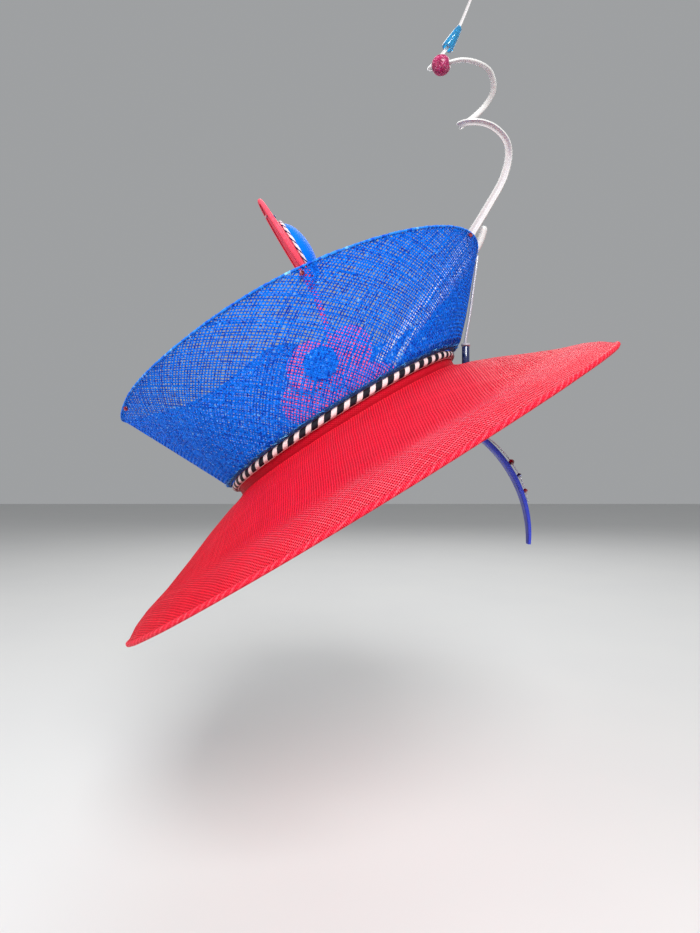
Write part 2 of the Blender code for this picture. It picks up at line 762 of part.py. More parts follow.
def make_mini_hat(hat):
    """The small hat on the stem, edge-on to the wearer's back, its crown to the right."""
    place = Matrix.Translation(Vector((MINI_ACROSS, MINI_FORWARD, MINI_HEIGHT)) * MM)
    columns = Matrix(((0.0, 0.0, 1.0), (-1.0, 0.0, 0.0), (0.0, -1.0, 0.0))).to_4x4()
    turn = Matrix.Rotation(math.radians(-MINI_TURN_DEG), 4, "Y")
    mini = add_axis("mini_axis", hat, place @ columns @ turn)
    rim = MINI_BRIM_RADIUS
    flat = MINI_CROWN_RADIUS + 2.0 * MINI_PIPING_RADIUS + GAP
    wall = MINI_WALL
    sink = MINI_BRIM_SINK
    brim_rings = [
        (flat - wall, MINI_CROWN_SHIFT, sink - wall),
        (rim - 0.5 * wall, 0.0, -0.5 * wall),
        (rim, 0.0, 0.0),
        (rim - 0.5 * wall, 0.0, 0.5 * wall),
        (flat, MINI_CROWN_SHIFT, sink),
    ]
    add_object("mini_brim", disc_between(brim_rings, MINI_STEPS), "red_straw", mini)
    level = sink + GAP + MINI_PIPING_RADIUS
    middle = MINI_CROWN_RADIUS + GAP + MINI_PIPING_RADIUS
    ring = [
        (middle + across, up)
        for across, up in round_outline(MINI_PIPING_RADIUS, MINI_PIPING_SIDES)
    ]
    piping = add_object("mini_piping", turned(lambda turn: ring, MINI_STEPS), "striped_cloth", mini)
    piping.location = Vector((0.0, MINI_CROWN_SHIFT, level)) * MM
    outer = []
    inner = []
    for step in range(MINI_CROWN_RINGS + 1):
        angle = 0.5 * math.pi * step / MINI_CROWN_RINGS
        outer.append((MINI_CROWN_RADIUS * math.cos(angle), MINI_CROWN_HEIGHT * math.sin(angle)))
        inner.append((
            (MINI_CROWN_RADIUS - wall) * math.cos(angle),
            (MINI_CROWN_HEIGHT - wall) * math.sin(angle),
        ))
    outer[-1] = (0.0, outer[-1][1])
    inner[-1] = (0.0, inner[-1][1])
    rows = [*reversed(outer), *inner]
    crown = add_object("mini_crown", domed(rows, MINI_STEPS), "blue_straw", mini)
    crown.location = Vector((0.0, MINI_CROWN_SHIFT, sink + GAP)) * MM
    half_wall = 0.5 * wall
    for number, (above, side) in enumerate(MINI_CRYSTALS, start=1):
        edge_share = (rim - above) / (rim - flat + MINI_CROWN_SHIFT)
        off = half_wall + GAP + MINI_CRYSTAL_RADIUS
        level = sink * edge_share + side * off - half_wall
        colour = "navy_crystal" if side > 0 else "crimson_crystal"
        place = Vector((0.0, -above, level))
        add_crystal(f"mini_crystal_{number}", MINI_CRYSTAL_RADIUS, place, colour, mini)


def quill_frames():
    """Frames along the curled quill, from its foot on the crown tip to its tip."""
    foot_height = floor_height(QUILL_FOOT_ACROSS, QUILL_FOOT_FORWARD)
    foot_height += GAP + 0.5 * QUILL_FOOT_WIDTH
    points = [Vector((QUILL_FOOT_ACROSS, QUILL_FOOT_FORWARD, foot_height))]
    for across, forward, rise in QUILL_ROWS:
        points.append(Vector((across * QUILL_REACH, forward * QUILL_REACH, rise * QUILL_RISE)))
    return carried_frames(smooth_curve(points, QUILL_STEPS), Vector((0.0, 0.0, 1.0)))


def quill_forward(across):
    """How far to the front the curled quill lies where it first reaches that far across."""
    places = [place for place, _, _ in quill_frames()]
    for near, far in zip(places, places[1:]):
        if far.x >= across:
            part = max(0.0, (across - near.x) / (far.x - near.x))
            return near.y + (far.y - near.y) * part
    return places[-1].y


def quill_width(share):
    """Width of the quill's ribbon at a share of its length."""
    return QUILL_FOOT_WIDTH + (QUILL_TIP_WIDTH - QUILL_FOOT_WIDTH) * share


def make_curled_quill(hat):
    """The stripped quill, a ribbon with a groove down its face."""

    def outline(index):
        half = 0.5 * quill_width(index / QUILL_STEPS)
        thick = half * QUILL_THICK_SHARE
        groove = half * QUILL_GROOVE_SHARE
        return [
            (-half, 0.0),
            (-QUILL_BACK_SHARE * half, -thick),
            (QUILL_BACK_SHARE * half, -thick),
            (half, 0.0),
            (QUILL_LIP_SHARE * half, thick),
            (0.0, thick - 2.0 * groove),
            (-QUILL_LIP_SHARE * half, thick),
        ]

    add_object("curled_quill", swept(quill_frames(), outline), "quill_white", hat)


def frame_at(frames, share):
    """A place and its side and face directions at a share of the way along frames."""
    spot = min(max(share, 0.0), 1.0) * (len(frames) - 1)
    index = min(int(spot), len(frames) - 2)
    part = spot - index
    near = frames[index]
    far = frames[index + 1]
    return tuple(near[k].lerp(far[k], part) for k in range(3))


def add_bead(name, share, half_length, radius_at, finish_name, hat):
    """A bead drilled along the curled quill, straight outside. radius_at runs from -1 to 1."""
    frames = quill_frames()
    length = sum((b[0] - a[0]).length for a, b in zip(frames, frames[1:]))
    middle, side, face = frame_at(frames, share)
    along = side.cross(face).normalized()
    bore = 0.5 * quill_width(share) + GAP + BORE_SPARE
    bm = bmesh.new()
    rings = []
    for step in range(BEAD_STEPS + 1):
        reach = (2.0 * step / BEAD_STEPS - 1.0) * half_length
        place, near_side, near_face = frame_at(frames, share + reach / length)
        rings.append([
            bm.verts.new(place + near_side * across + near_face * up)
            for across, up in round_outline(bore, BEAD_SIDES)
        ])
    for step in range(BEAD_STEPS + 1):
        t = 1.0 - 2.0 * step / BEAD_STEPS
        place = middle + along * (t * half_length)
        rings.append([
            bm.verts.new(place + side * across + face * up)
            for across, up in round_outline(radius_at(t), BEAD_SIDES)
        ])
    join_rings(bm, rings, closed=True)
    add_object(name, bm, finish_name, hat)


def make_beads(hat):
    """The glitter ball and the bell bead on the curled quill."""
    reach = PAVE_RADIUS * PAVE_END_SHARE

    def ball(t):
        return math.sqrt(PAVE_RADIUS ** 2 - (t * reach) ** 2)

    def bell(t):
        swell = 0.5 - 0.5 * t
        return BELL_NECK_RADIUS + (BELL_RADIUS - BELL_NECK_RADIUS) * swell ** BELL_POWER

    add_bead("pave_bead", PAVE_SHARE, reach, ball, "crimson_crystal", hat)
    add_bead("bell_bead", BELL_SHARE, 0.5 * BELL_LENGTH, bell, "cyan_lucite", hat)


def make_blunt_quill(hat):
    """The straight quill beside the curled one, with a rounded end."""
    foot_height = floor_height(BLUNT_FOOT_ACROSS, BLUNT_FOOT_FORWARD) + GAP + BLUNT_FOOT_RADIUS
    points = [Vector((BLUNT_FOOT_ACROSS, BLUNT_FOOT_FORWARD, foot_height))]
    for across, beside, rise in BLUNT_ROWS:
        forward = quill_forward(across * BLUNT_REACH) + beside * BLUNT_BESIDE
        points.append(Vector((across * BLUNT_REACH, forward, rise * BLUNT_RISE)))
    curve = smooth_curve(points, BLUNT_STEPS)
    length = sum((b - a).length for a, b in zip(curve, curve[1:]))

    def outline(index):
        share = index / BLUNT_STEPS
        radius = BLUNT_FOOT_RADIUS + (BLUNT_RADIUS - BLUNT_FOOT_RADIUS) * share
        to_end = (1.0 - share) * length / BLUNT_RADIUS
        if to_end < 1.0:
            round_end = math.sqrt(1.0 - (1.0 - to_end) ** 2)
            radius *= BLUNT_TIP_SHARE + (1.0 - BLUNT_TIP_SHARE) * round_end
        return round_outline(radius, BLUNT_SIDES)

    frames = carried_frames(curve, Vector((0.0, 0.0, 1.0)))
    add_object("blunt_quill", swept(frames, outline), "quill_white", hat)


def brim_height(radius, azimuth):
    """Height of the brim's upper face at a radius and an azimuth."""
    line = brim_line(azimuth)
    for inner, outer in zip(line, line[1:]):
        if radius <= outer[0]:
            part = (radius - inner[0]) / (outer[0] - inner[0])
            return inner[1] + (outer[1] - inner[1]) * part
    return line[-1][1]


def stalk_points():
    """Where the tube stands on the brim, where it ends, and the rod's way up the flare."""
    foot_radius = COLLAR_RADIUS + GAP + TUBE_OFF_COLLAR
    azimuth = math.radians(STALK_FOOT_AZIMUTH_DEG)
    turn = Vector((math.cos(azimuth), math.sin(azimuth), 0.0))
    foot = turn * foot_radius + Vector((0.0, 0.0, brim_height(foot_radius, azimuth)))
    points = []
    for share in STALK_SHARES:
        azimuth_deg = STALK_FOOT_AZIMUTH_DEG
        azimuth_deg += (STALK_TOP_AZIMUTH_DEG - STALK_FOOT_AZIMUTH_DEG) * share
        radius, height = flare_point(azimuth_deg, share)
        lean = math.radians(cyclic_value(FLARE_ROWS, 2, azimuth_deg))
        off = STALK_FOOT_OFF_WALL + (STALK_TOP_OFF_WALL - STALK_FOOT_OFF_WALL) * share
        radius += off * math.cos(lean)
        height -= off * math.sin(lean)
        azimuth = math.radians(azimuth_deg)
        points.append(Vector((radius * math.cos(azimuth), radius * math.sin(azimuth), height)))
    along = (points[0] - foot).normalized()
    foot += along * (GAP + TUBE_RADIUS * TUBE_FOOT_SHARE)
    return foot, along, points


def make_stalk(hat):
    """The slim rod with its ring, and the dark tube on the brim that holds its foot."""
    foot, along, points = stalk_points()
    side = Vector((0.0, 1.0, 0.0))
    mouth = foot + along * TUBE_LENGTH
    tube_frames = carried_frames([foot, mouth], side)
    bore = STALK_RADIUS + GAP
    bm = bmesh.new()
    rings = []
    levels = (
        # share of the tube, radius
        (0.0, TUBE_RADIUS),
        (1.0, TUBE_RADIUS),
        (1.0, bore),
        (1.0 - STALK_IN_TUBE / TUBE_LENGTH, bore),
    )
    _, across_way, up_way = tube_frames[0]
    for share, radius in levels:
        place = foot + along * (TUBE_LENGTH * share)
        rings.append([
            bm.verts.new(place + across_way * across + up_way * up)
            for across, up in round_outline(radius, BEAD_SIDES)
        ])
    join_rings(bm, rings, closed=False)
    add_object("stalk_tube", bm, "navy_tube", hat)
    low = mouth + along * (2.0 * GAP - STALK_IN_TUBE)
    above_ring = mouth + along * (RING_LENGTH + 2.0 * GAP)
    knee = above_ring + along * STALK_KNEE
    curve = smooth_curve([low, mouth, above_ring, knee, *points[1:]], STALK_STEPS)
    rod = swept(carried_frames(curve, side), lambda index: round_outline(STALK_RADIUS, STALK_SIDES))
    add_object("side_stalk", rod, "stalk_grey", hat)
    bm = bmesh.new()
    rings = []
    for reach, radius in ((0.0, RING_RADIUS), (1.0, RING_RADIUS), (1.0, bore), (0.0, bore)):
        place = mouth + along * (GAP + RING_LENGTH * reach)
        rings.append([
            bm.verts.new(place + across_way * across + up_way * up)
            for across, up in round_outline(radius, BEAD_SIDES)
        ])
    join_rings(bm, rings, closed=True)
    add_object("stalk_ring", bm, "stalk_grey", hat)


def band_place(angle_deg, radius):
    """A place on the headband's upright plane, at a radius from its middle."""
    angle = math.radians(angle_deg)
    drop = -BAND_INNER_RADIUS
    return Vector((radius * math.cos(angle), 0.0, radius * math.sin(angle) + drop))


def make_headband():
    """The satin covered band, narrower towards its free ends."""
    frames = []
    angles = []
    sweep = 180.0 + 2.0 * BAND_BELOW_DEG
    for step in range(BAND_STEPS + 1):
        angle_deg = -BAND_BELOW_DEG + sweep * step / BAND_STEPS
        place = band_place(angle_deg, BAND_INNER_RADIUS + 0.5 * BAND_THICK)
        out = Vector((math.cos(math.radians(angle_deg)), 0.0, math.sin(math.radians(angle_deg))))
        frames.append((place, Vector((0.0, 1.0, 0.0)), out))
        angles.append(angle_deg)

    def outline(index):
        from_end = min(angles[index], 180.0 - angles[index]) + BAND_BELOW_DEG
        share = min(1.0, from_end / BAND_TAPER_DEG) ** BAND_TAPER_POWER
        half = 0.5 * (BAND_END_WIDTH + (BAND_WIDTH - BAND_END_WIDTH) * share)
        thick = 0.5 * (BAND_END_THICK + (BAND_THICK - BAND_END_THICK) * share)
        side = half - BAND_CORNER
        face = thick - BAND_CORNER
        return [
            (half, -face),
            (half, face),
            (side, thick),
            (-side, thick),
            (-half, face),
            (-half, -face),
            (-side, -thick),
            (side, -thick),
        ]

    add_object("headband", swept(frames, outline), "blue_satin", None)


def make_band_trim():
    """A wire along the headband's right arm, with crystals threaded and glued on it."""
    outer = BAND_INNER_RADIUS + BAND_THICK
    largest = max(radius for _, radius in TRIM_BEADS)
    bulge = largest - TRIM_WIRE_RADIUS

    def path_radius(angle_deg):
        share = (TRIM_FROM_DEG - angle_deg) / (TRIM_FROM_DEG - TRIM_TO_DEG)
        rise = math.sqrt(math.sin(math.pi * min(max(share, 0.0), 1.0)))
        return outer + GAP + TRIM_WIRE_RADIUS + bulge * rise

    stations = []
    for step in range(TRIM_STEPS + 1):
        angle_deg = TRIM_FROM_DEG + (TRIM_TO_DEG - TRIM_FROM_DEG) * step / TRIM_STEPS
        clear = True
        for bead_deg, radius in TRIM_BEADS:
            reach = math.degrees(radius / path_radius(bead_deg))
            if abs(angle_deg - bead_deg) < reach * TRIM_CLEAR_SHARE:
                clear = False
        if clear:
            stations.append((angle_deg, TRIM_WIRE_RADIUS))
    for bead_deg, radius in TRIM_BEADS:
        reach = math.degrees(radius / path_radius(bead_deg))
        for step in range(TRIM_BEAD_STEPS + 1):
            turn = math.radians(TRIM_BEAD_TURN_DEG * (2.0 * step / TRIM_BEAD_STEPS - 1.0))
            thick = max(radius * math.cos(turn), TRIM_WIRE_RADIUS)
            stations.append((bead_deg + reach * math.sin(turn), thick))
    stations.sort(reverse=True)
    curve = [band_place(angle_deg, path_radius(angle_deg)) for angle_deg, _ in stations]
    frames = carried_frames(curve, Vector((0.0, 1.0, 0.0)))
    wire = swept(frames, lambda index: round_outline(stations[index][1], TRIM_SIDES))
    add_object("band_trim", wire, "crimson_crystal", None)


def hat_matrix():
    """The hat's frame: tilted round the headband, so that the crown tip rests on its top."""
    tilt = math.radians(HAT_TILT_DEG)
    lean = math.radians(HAT_LEAN_DEG)
    up = Vector((-math.sin(tilt) * math.cos(lean), math.sin(lean), math.cos(tilt) * math.cos(lean)))
    right = Vector((math.cos(tilt), 0.0, math.sin(tilt)))
    front = up.cross(right)
    middle = Vector((0.0, 0.0, -BAND_INNER_RADIUS))
    clear = GAP + 0.5 * BAND_WIDTH * math.tan(abs(lean))
    off = BAND_INNER_RADIUS + BAND_THICK + clear - tip_height(HAT_SLIDE)
    place = middle + up * off + right * HAT_SLIDE
    columns = Matrix((right, front, up)).transposed().to_4x4()
    return Matrix.Translation(place * MM) @ columns


def main():
    """Model the whole hatinator."""
    for body in list(bpy.data.objects):
        bpy.data.objects.remove(body, do_unlink=True)
    hat = add_axis("hat_axis", None, hat_matrix())
    make_brim(hat)
    make_collar(hat)
    make_crown_tip(hat)
    make_striped_piping(hat)
    make_blue_flare(hat)
    make_rim_crystals(hat)
    make_flower(hat)
    make_stem(hat)
    make_mini_hat(hat)
    make_curled_quill(hat)
    make_beads(hat)
    make_blunt_quill(hat)
    make_stalk(hat)
    make_headband()
    make_band_trim()


main()
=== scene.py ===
"""The looks of a hatinator: a tilted hat of woven straw cloth, carried by a headband.

Lengths are in millimetres until a mesh is made. Most pieces are set out in the hat's own
frame, in which Z is the hat's axis and Z = 0 is the plane that the heights of the collar, the
piping and the brim are taken from. The sizes are those of the part's source.
"""

from __future__ import annotations

import logging
import math
from dataclasses import dataclass
from enum import Enum

import bmesh
import bpy
import numpy as np
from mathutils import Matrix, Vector

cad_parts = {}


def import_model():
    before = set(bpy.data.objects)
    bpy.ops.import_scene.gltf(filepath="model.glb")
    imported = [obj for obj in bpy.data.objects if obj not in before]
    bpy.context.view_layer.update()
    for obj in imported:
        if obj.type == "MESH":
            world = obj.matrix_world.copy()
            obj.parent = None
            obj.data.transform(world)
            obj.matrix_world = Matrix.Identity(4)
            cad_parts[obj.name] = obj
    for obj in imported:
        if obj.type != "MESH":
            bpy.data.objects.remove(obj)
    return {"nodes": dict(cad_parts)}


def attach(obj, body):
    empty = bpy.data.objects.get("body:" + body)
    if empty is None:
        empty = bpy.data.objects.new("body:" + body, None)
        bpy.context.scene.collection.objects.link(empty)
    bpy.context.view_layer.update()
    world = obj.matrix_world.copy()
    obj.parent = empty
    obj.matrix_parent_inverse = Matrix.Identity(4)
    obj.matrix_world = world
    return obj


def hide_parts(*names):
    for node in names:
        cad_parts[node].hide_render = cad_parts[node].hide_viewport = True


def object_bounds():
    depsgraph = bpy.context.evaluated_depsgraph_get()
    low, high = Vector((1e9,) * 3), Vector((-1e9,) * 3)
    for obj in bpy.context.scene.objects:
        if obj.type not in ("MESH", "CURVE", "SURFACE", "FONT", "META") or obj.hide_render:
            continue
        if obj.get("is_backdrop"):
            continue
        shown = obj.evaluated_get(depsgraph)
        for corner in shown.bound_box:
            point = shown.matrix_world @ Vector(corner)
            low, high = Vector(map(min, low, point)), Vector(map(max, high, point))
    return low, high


log = logging.getLogger("hatinator")

Array = np.ndarray
Colour = tuple[float, float, float]
Pair = tuple[float, float]
Point = tuple[float, float, float]
Socket = bpy.types.NodeSocket

MM = 0.001
GAP = 0.3
CLOTH = "cloth"
TONE = "tone"
SEED = 4306
TURN = 2.0 * math.pi
SIDEWAYS = np.array([1.0, 0.0, 0.0])
FORWARD = np.array([0.0, 1.0, 0.0])
UP = np.array([0.0, 0.0, 1.0])


class Slot(Enum):
    """The record's material slots."""

    RED = "red_sinamay"
    DARK_RED = "dark_red_sinamay"
    BLUE = "blue_sinamay"
    STRIPED = "striped_cord"
    QUILL = "stripped_quill"
    STALK = "grey_stalk"
    TUBE = "navy_tube"
    CRIMSON = "crimson_crystal"
    CYAN = "cyan_lucite"
    SATIN = "blue_satin"


class Direction(Enum):
    """The two ways that the threads of a cloth run."""

    WARP = 1
    WEFT = -1


# Shader wiring


class Wiring:
    """Short ways to add and join the nodes of one node tree."""

    def __init__(self, tree: bpy.types.NodeTree) -> None:
        """Keep the tree that the nodes go in."""
        self.tree = tree

    def feed(self, target: Socket, value: object) -> None:
        """Join a socket to an input, or set the input where the value is plain.

        Args:
            target: the input socket.
            value: an output socket, a number, or three numbers.
        """
        if isinstance(value, bpy.types.NodeSocket):
            self.tree.links.new(value, target)
        elif target.type == "RGBA":
            target.default_value = (*value, 1.0)
        else:
            target.default_value = value

    def node(self, kind: str, *values: object, **settings: object) -> bpy.types.Node:
        """Add a node.

        Args:
            kind: the node's type.
            values: sockets or plain values for its first inputs.
            settings: values for the node's own properties.

        Returns:
            The new node.
        """
        made = self.tree.nodes.new(kind)
        for name, value in settings.items():
            setattr(made, name, value)
        for target, value in zip(made.inputs, values):
            self.feed(target, value)
        return made

    def fill(self, node: bpy.types.Node, **values: object) -> bpy.types.Node:
        """Feed a node's inputs by name.

        Args:
            node: the node.
            values: sockets or plain values, by the input's name with _ for each space.

        Returns:
            The same node.
        """
        for name, value in values.items():
            self.feed(node.inputs[name.replace("_", " ")], value)
        return node

    def math(self, operation: str, *values: object, clamp: bool = False) -> Socket:
        """Work out an operation of the Math node, kept from 0 to 1 where it is clamped."""
        return self.node("ShaderNodeMath", *values, operation=operation, use_clamp=clamp).outputs[0]

    def vector(self, operation: str, *values: object) -> Socket:
        """Work out an operation of the Vector Math node."""
        return self.node("ShaderNodeVectorMath", *values, operation=operation).outputs[0]

    def split(self, place: Socket) -> list[Socket]:
        """The three coordinates of a place."""
        return list(self.node("ShaderNodeSeparateXYZ", place).outputs)

    def mix(self, factor: object, low: object, high: object, kind: str = "RGBA") -> Socket:
        """Mix two colours or two numbers.

        Args:
            factor: share of the second one.
            low: the first one.
            high: the second one.
            kind: RGBA for colours, FLOAT for numbers.

        Returns:
            The mixed colour or number.
        """
        made = self.node("ShaderNodeMix", factor, data_type=kind)
        first, result = (6, 2) if kind == "RGBA" else (2, 0)
        self.feed(made.inputs[first], low)
        self.feed(made.inputs[first + 1], high)
        return made.outputs[result]

    def blend(self, factor: object, low: object, high: object) -> Socket:
        """Mix two numbers."""
        return self.mix(factor, low, high, "FLOAT")

    def ramp(self, value: Socket, low: float, high: float, start: float, end: float) -> Socket:
        """Carry a value smoothly from the range low to high over to the range start to end."""
        numbers = (value, low, high, start, end)
        return self.node("ShaderNodeMapRange", *numbers, interpolation_type="SMOOTHSTEP").outputs[0]

    def noise(self, place: Socket, scale: object, detail: float) -> bpy.types.Node:
        """Add a noise texture, with its value first and its colour second."""
        return self.fill(self.node("ShaderNodeTexNoise"), Vector=place, Scale=scale, Detail=detail)


class Effects:
    """The node groups that more than one material uses."""

    def __init__(self) -> None:
        """Build each group once."""
        self.weave = self._weave()
        self.patches = self._patches()
        self.fibres = self._fibres()
        self.stripes = self._stripes()

    @staticmethod
    def _open(
        name: str, inputs: dict[str, float], outputs: list[str]
    ) -> tuple[Wiring, bpy.types.NodeOutputs, bpy.types.Node]:
        """Start a group whose first input is a place on the cloth.

        Args:
            name: the group's name.
            inputs: default of each number that it takes, by name.
            outputs: names of the values that it gives.

        Returns:
            The group's wiring, the sockets of what it takes, and its output node.
        """
        tree = bpy.data.node_groups.new(name, "ShaderNodeTree")
        tree.interface.new_socket("Place", in_out="INPUT", socket_type="NodeSocketVector")
        for label, value in inputs.items():
            socket = tree.interface.new_socket(label, in_out="INPUT", socket_type="NodeSocketFloat")
            socket.default_value = value
        for label in outputs:
            tree.interface.new_socket(label, in_out="OUTPUT", socket_type="NodeSocketFloat")
        wires = Wiring(tree)
        return wires, wires.node("NodeGroupInput").outputs, wires.node("NodeGroupOutput")

    def _weave(self) -> bpy.types.NodeTree:
        """Draw a plain weave.

        Returns:
            The group: how far threads cover a place, how high they lie and their tones.
        """
        wires, given, result = self._open(
            "plain weave",
            {"Pitch": 1.6, "Turn": 0.0, "Wander": 0.4, "Filled": 0.5},
            ["Cover", "Height", "Tone"],
        )
        turned = wires.node("ShaderNodeVectorRotate", rotation_type="Z_AXIS")
        wires.fill(turned, Vector=given["Place"], Angle=given["Turn"])
        drift = wires.noise(given["Place"], 0.06, 1.0).outputs["Color"]
        drift = wires.vector("MULTIPLY", wires.vector("SUBTRACT", drift, (0.5, 0.5, 0.5)), given["Wander"])
        places = wires.split(wires.vector("ADD", turned.outputs[0], drift))
        across = [wires.math("DIVIDE", value, given["Pitch"]) for value in places[:2]]
        crests, halves = [], []
        for value in across:
            wave = wires.math("COSINE", wires.math("MULTIPLY", value, TURN))
            crests.append(wires.math("MULTIPLY_ADD", wave, 0.5, 0.5))
            halves.append(wires.math("COSINE", wires.math("MULTIPLY", value, math.pi)))
        swap = wires.math("MULTIPLY", *halves)
        warp, weft = (
            wires.math("MULTIPLY", crest, wires.math("MULTIPLY_ADD", swap, rise, 1.0))
            for crest, rise in zip(crests, (0.3, -0.3))
        )
        bare = wires.math("SUBTRACT", 1.0, given["Filled"])
        over = wires.math("SUBTRACT", wires.math("MAXIMUM", *crests), bare)
        tones = []
        for value, shift in zip(across, (0.0, 71.0)):
            dice = wires.node("ShaderNodeTexWhiteNoise", noise_dimensions="1D")
            number = wires.math("ADD", wires.math("ROUND", value), shift)
            tones.append(wires.fill(dice, W=number).outputs["Value"])
        first = wires.math("GREATER_THAN", warp, weft)
        change = wires.math("MULTIPLY", wires.math("SUBTRACT", *tones), first)
        wires.fill(
            result,
            Cover=wires.ramp(over, -0.18, 0.18, 0.0, 1.0),
            Height=wires.math("MAXIMUM", warp, weft),
            Tone=wires.math("ADD", tones[1], change),
        )
        return wires.tree

    def _patches(self) -> bpy.types.NodeTree:
        """Draw slow changes of shade over a cloth, as where it was pulled on its block.

        Returns:
            The group.
        """
        wires, given, result = self._open("soft patches", {"Size": 30.0, "Contrast": 1.0}, ["Value"])
        cloud = wires.noise(given["Place"], wires.math("DIVIDE", 1.0, given["Size"]), 3.0).outputs[0]
        spread = wires.math("MULTIPLY", wires.math("SUBTRACT", cloud, 0.5), given["Contrast"])
        wires.fill(result, Value=wires.math("ADD", spread, 0.5, clamp=True))
        return wires.tree

    def _fibres(self) -> bpy.types.NodeTree:
        """Draw fine streaks along the cloth's second coordinate.

        Returns:
            The group.
        """
        wires, given, result = self._open(
            "fine fibres", {"Width": 0.3, "Length": 20.0}, ["Value", "Height"]
        )
        x, y, _ = wires.split(given["Place"])
        across = wires.math("DIVIDE", x, given["Width"])
        along = wires.math("DIVIDE", y, given["Length"])
        joined = wires.node("ShaderNodeCombineXYZ", across, along).outputs[0]
        streaks = wires.noise(joined, 1.0, 3.0).outputs[0]
        wires.fill(result, Value=wires.ramp(streaks, 0.3, 0.7, 0.0, 1.0), Height=streaks)
        return wires.tree

    def _stripes(self) -> bpy.types.NodeTree:
        """Draw slanted stripes along the cloth's first coordinate, with soft woven edges.

        Returns:
            The group.
        """
        wires, given, result = self._open(
            "slanted stripes", {"Period": 10.0, "Slant": 0.5, "Share": 0.5}, ["Mask"]
        )
        x, y, _ = wires.split(given["Place"])
        lean = wires.math("MULTIPLY", y, given["Slant"])
        shake = wires.math("MULTIPLY", wires.noise(given["Place"], 1.6, 1.0).outputs[0], 0.5)
        run = wires.math("ADD", wires.math("ADD", x, lean), shake)
        part = wires.math("FRACT", wires.math("DIVIDE", run, given["Period"]))
        middle = wires.math("ABSOLUTE", wires.math("SUBTRACT", part, 0.5))
        inside = wires.math("SUBTRACT", wires.math("MULTIPLY", given["Share"], 0.5), middle)
        wires.fill(result, Mask=wires.ramp(inside, -0.02, 0.02, 0.0, 1.0))
        return wires.tree


class Paint:
    """A material while it is painted: its wiring, its shader and the place on the cloth."""

    def __init__(self, name: str, effects: Effects) -> None:
        """Start a material.

        Args:
            name: the material's name.
            effects: the shared node groups.
        """
        self.material = bpy.data.materials.new(name)
        self.material.use_nodes = True
        self.wires = Wiring(self.material.node_tree)
        self.shader = self.material.node_tree.nodes["Principled BSDF"]
        self.place = self.wires.node("ShaderNodeUVMap", uv_map=CLOTH).outputs[0]
        self.effects = effects

    def tone(self) -> Socket:
        """The tone of each face."""
        return self.wires.node("ShaderNodeAttribute", attribute_name=TONE).outputs["Fac"]

    def effect(self, name: str, **values: object) -> bpy.types.NodeOutputs:
        """Place a shared group on the cloth, with values for its inputs by name."""
        made = self.wires.node("ShaderNodeGroup", node_tree=getattr(self.effects, name))
        return self.wires.fill(made, Place=self.place, **values).outputs

    def surface(self, **values: object) -> None:
        """Feed the shader's sockets by name, with _ for each space."""
        self.wires.fill(self.shader, **values)

    def relief(self, height: Socket, depth: float, strength: float) -> None:
        """Give the surface fine relief.

        Args:
            height: the relief, from 0 to 1.
            depth: what 1 stands for, in millimetres.
            strength: how much of it shows.
        """
        bump = self.wires.node("ShaderNodeBump")
        self.wires.fill(bump, Strength=strength, Distance=depth * MM, Height=height)
        self.surface(Normal=bump.outputs[0])


# Finishes


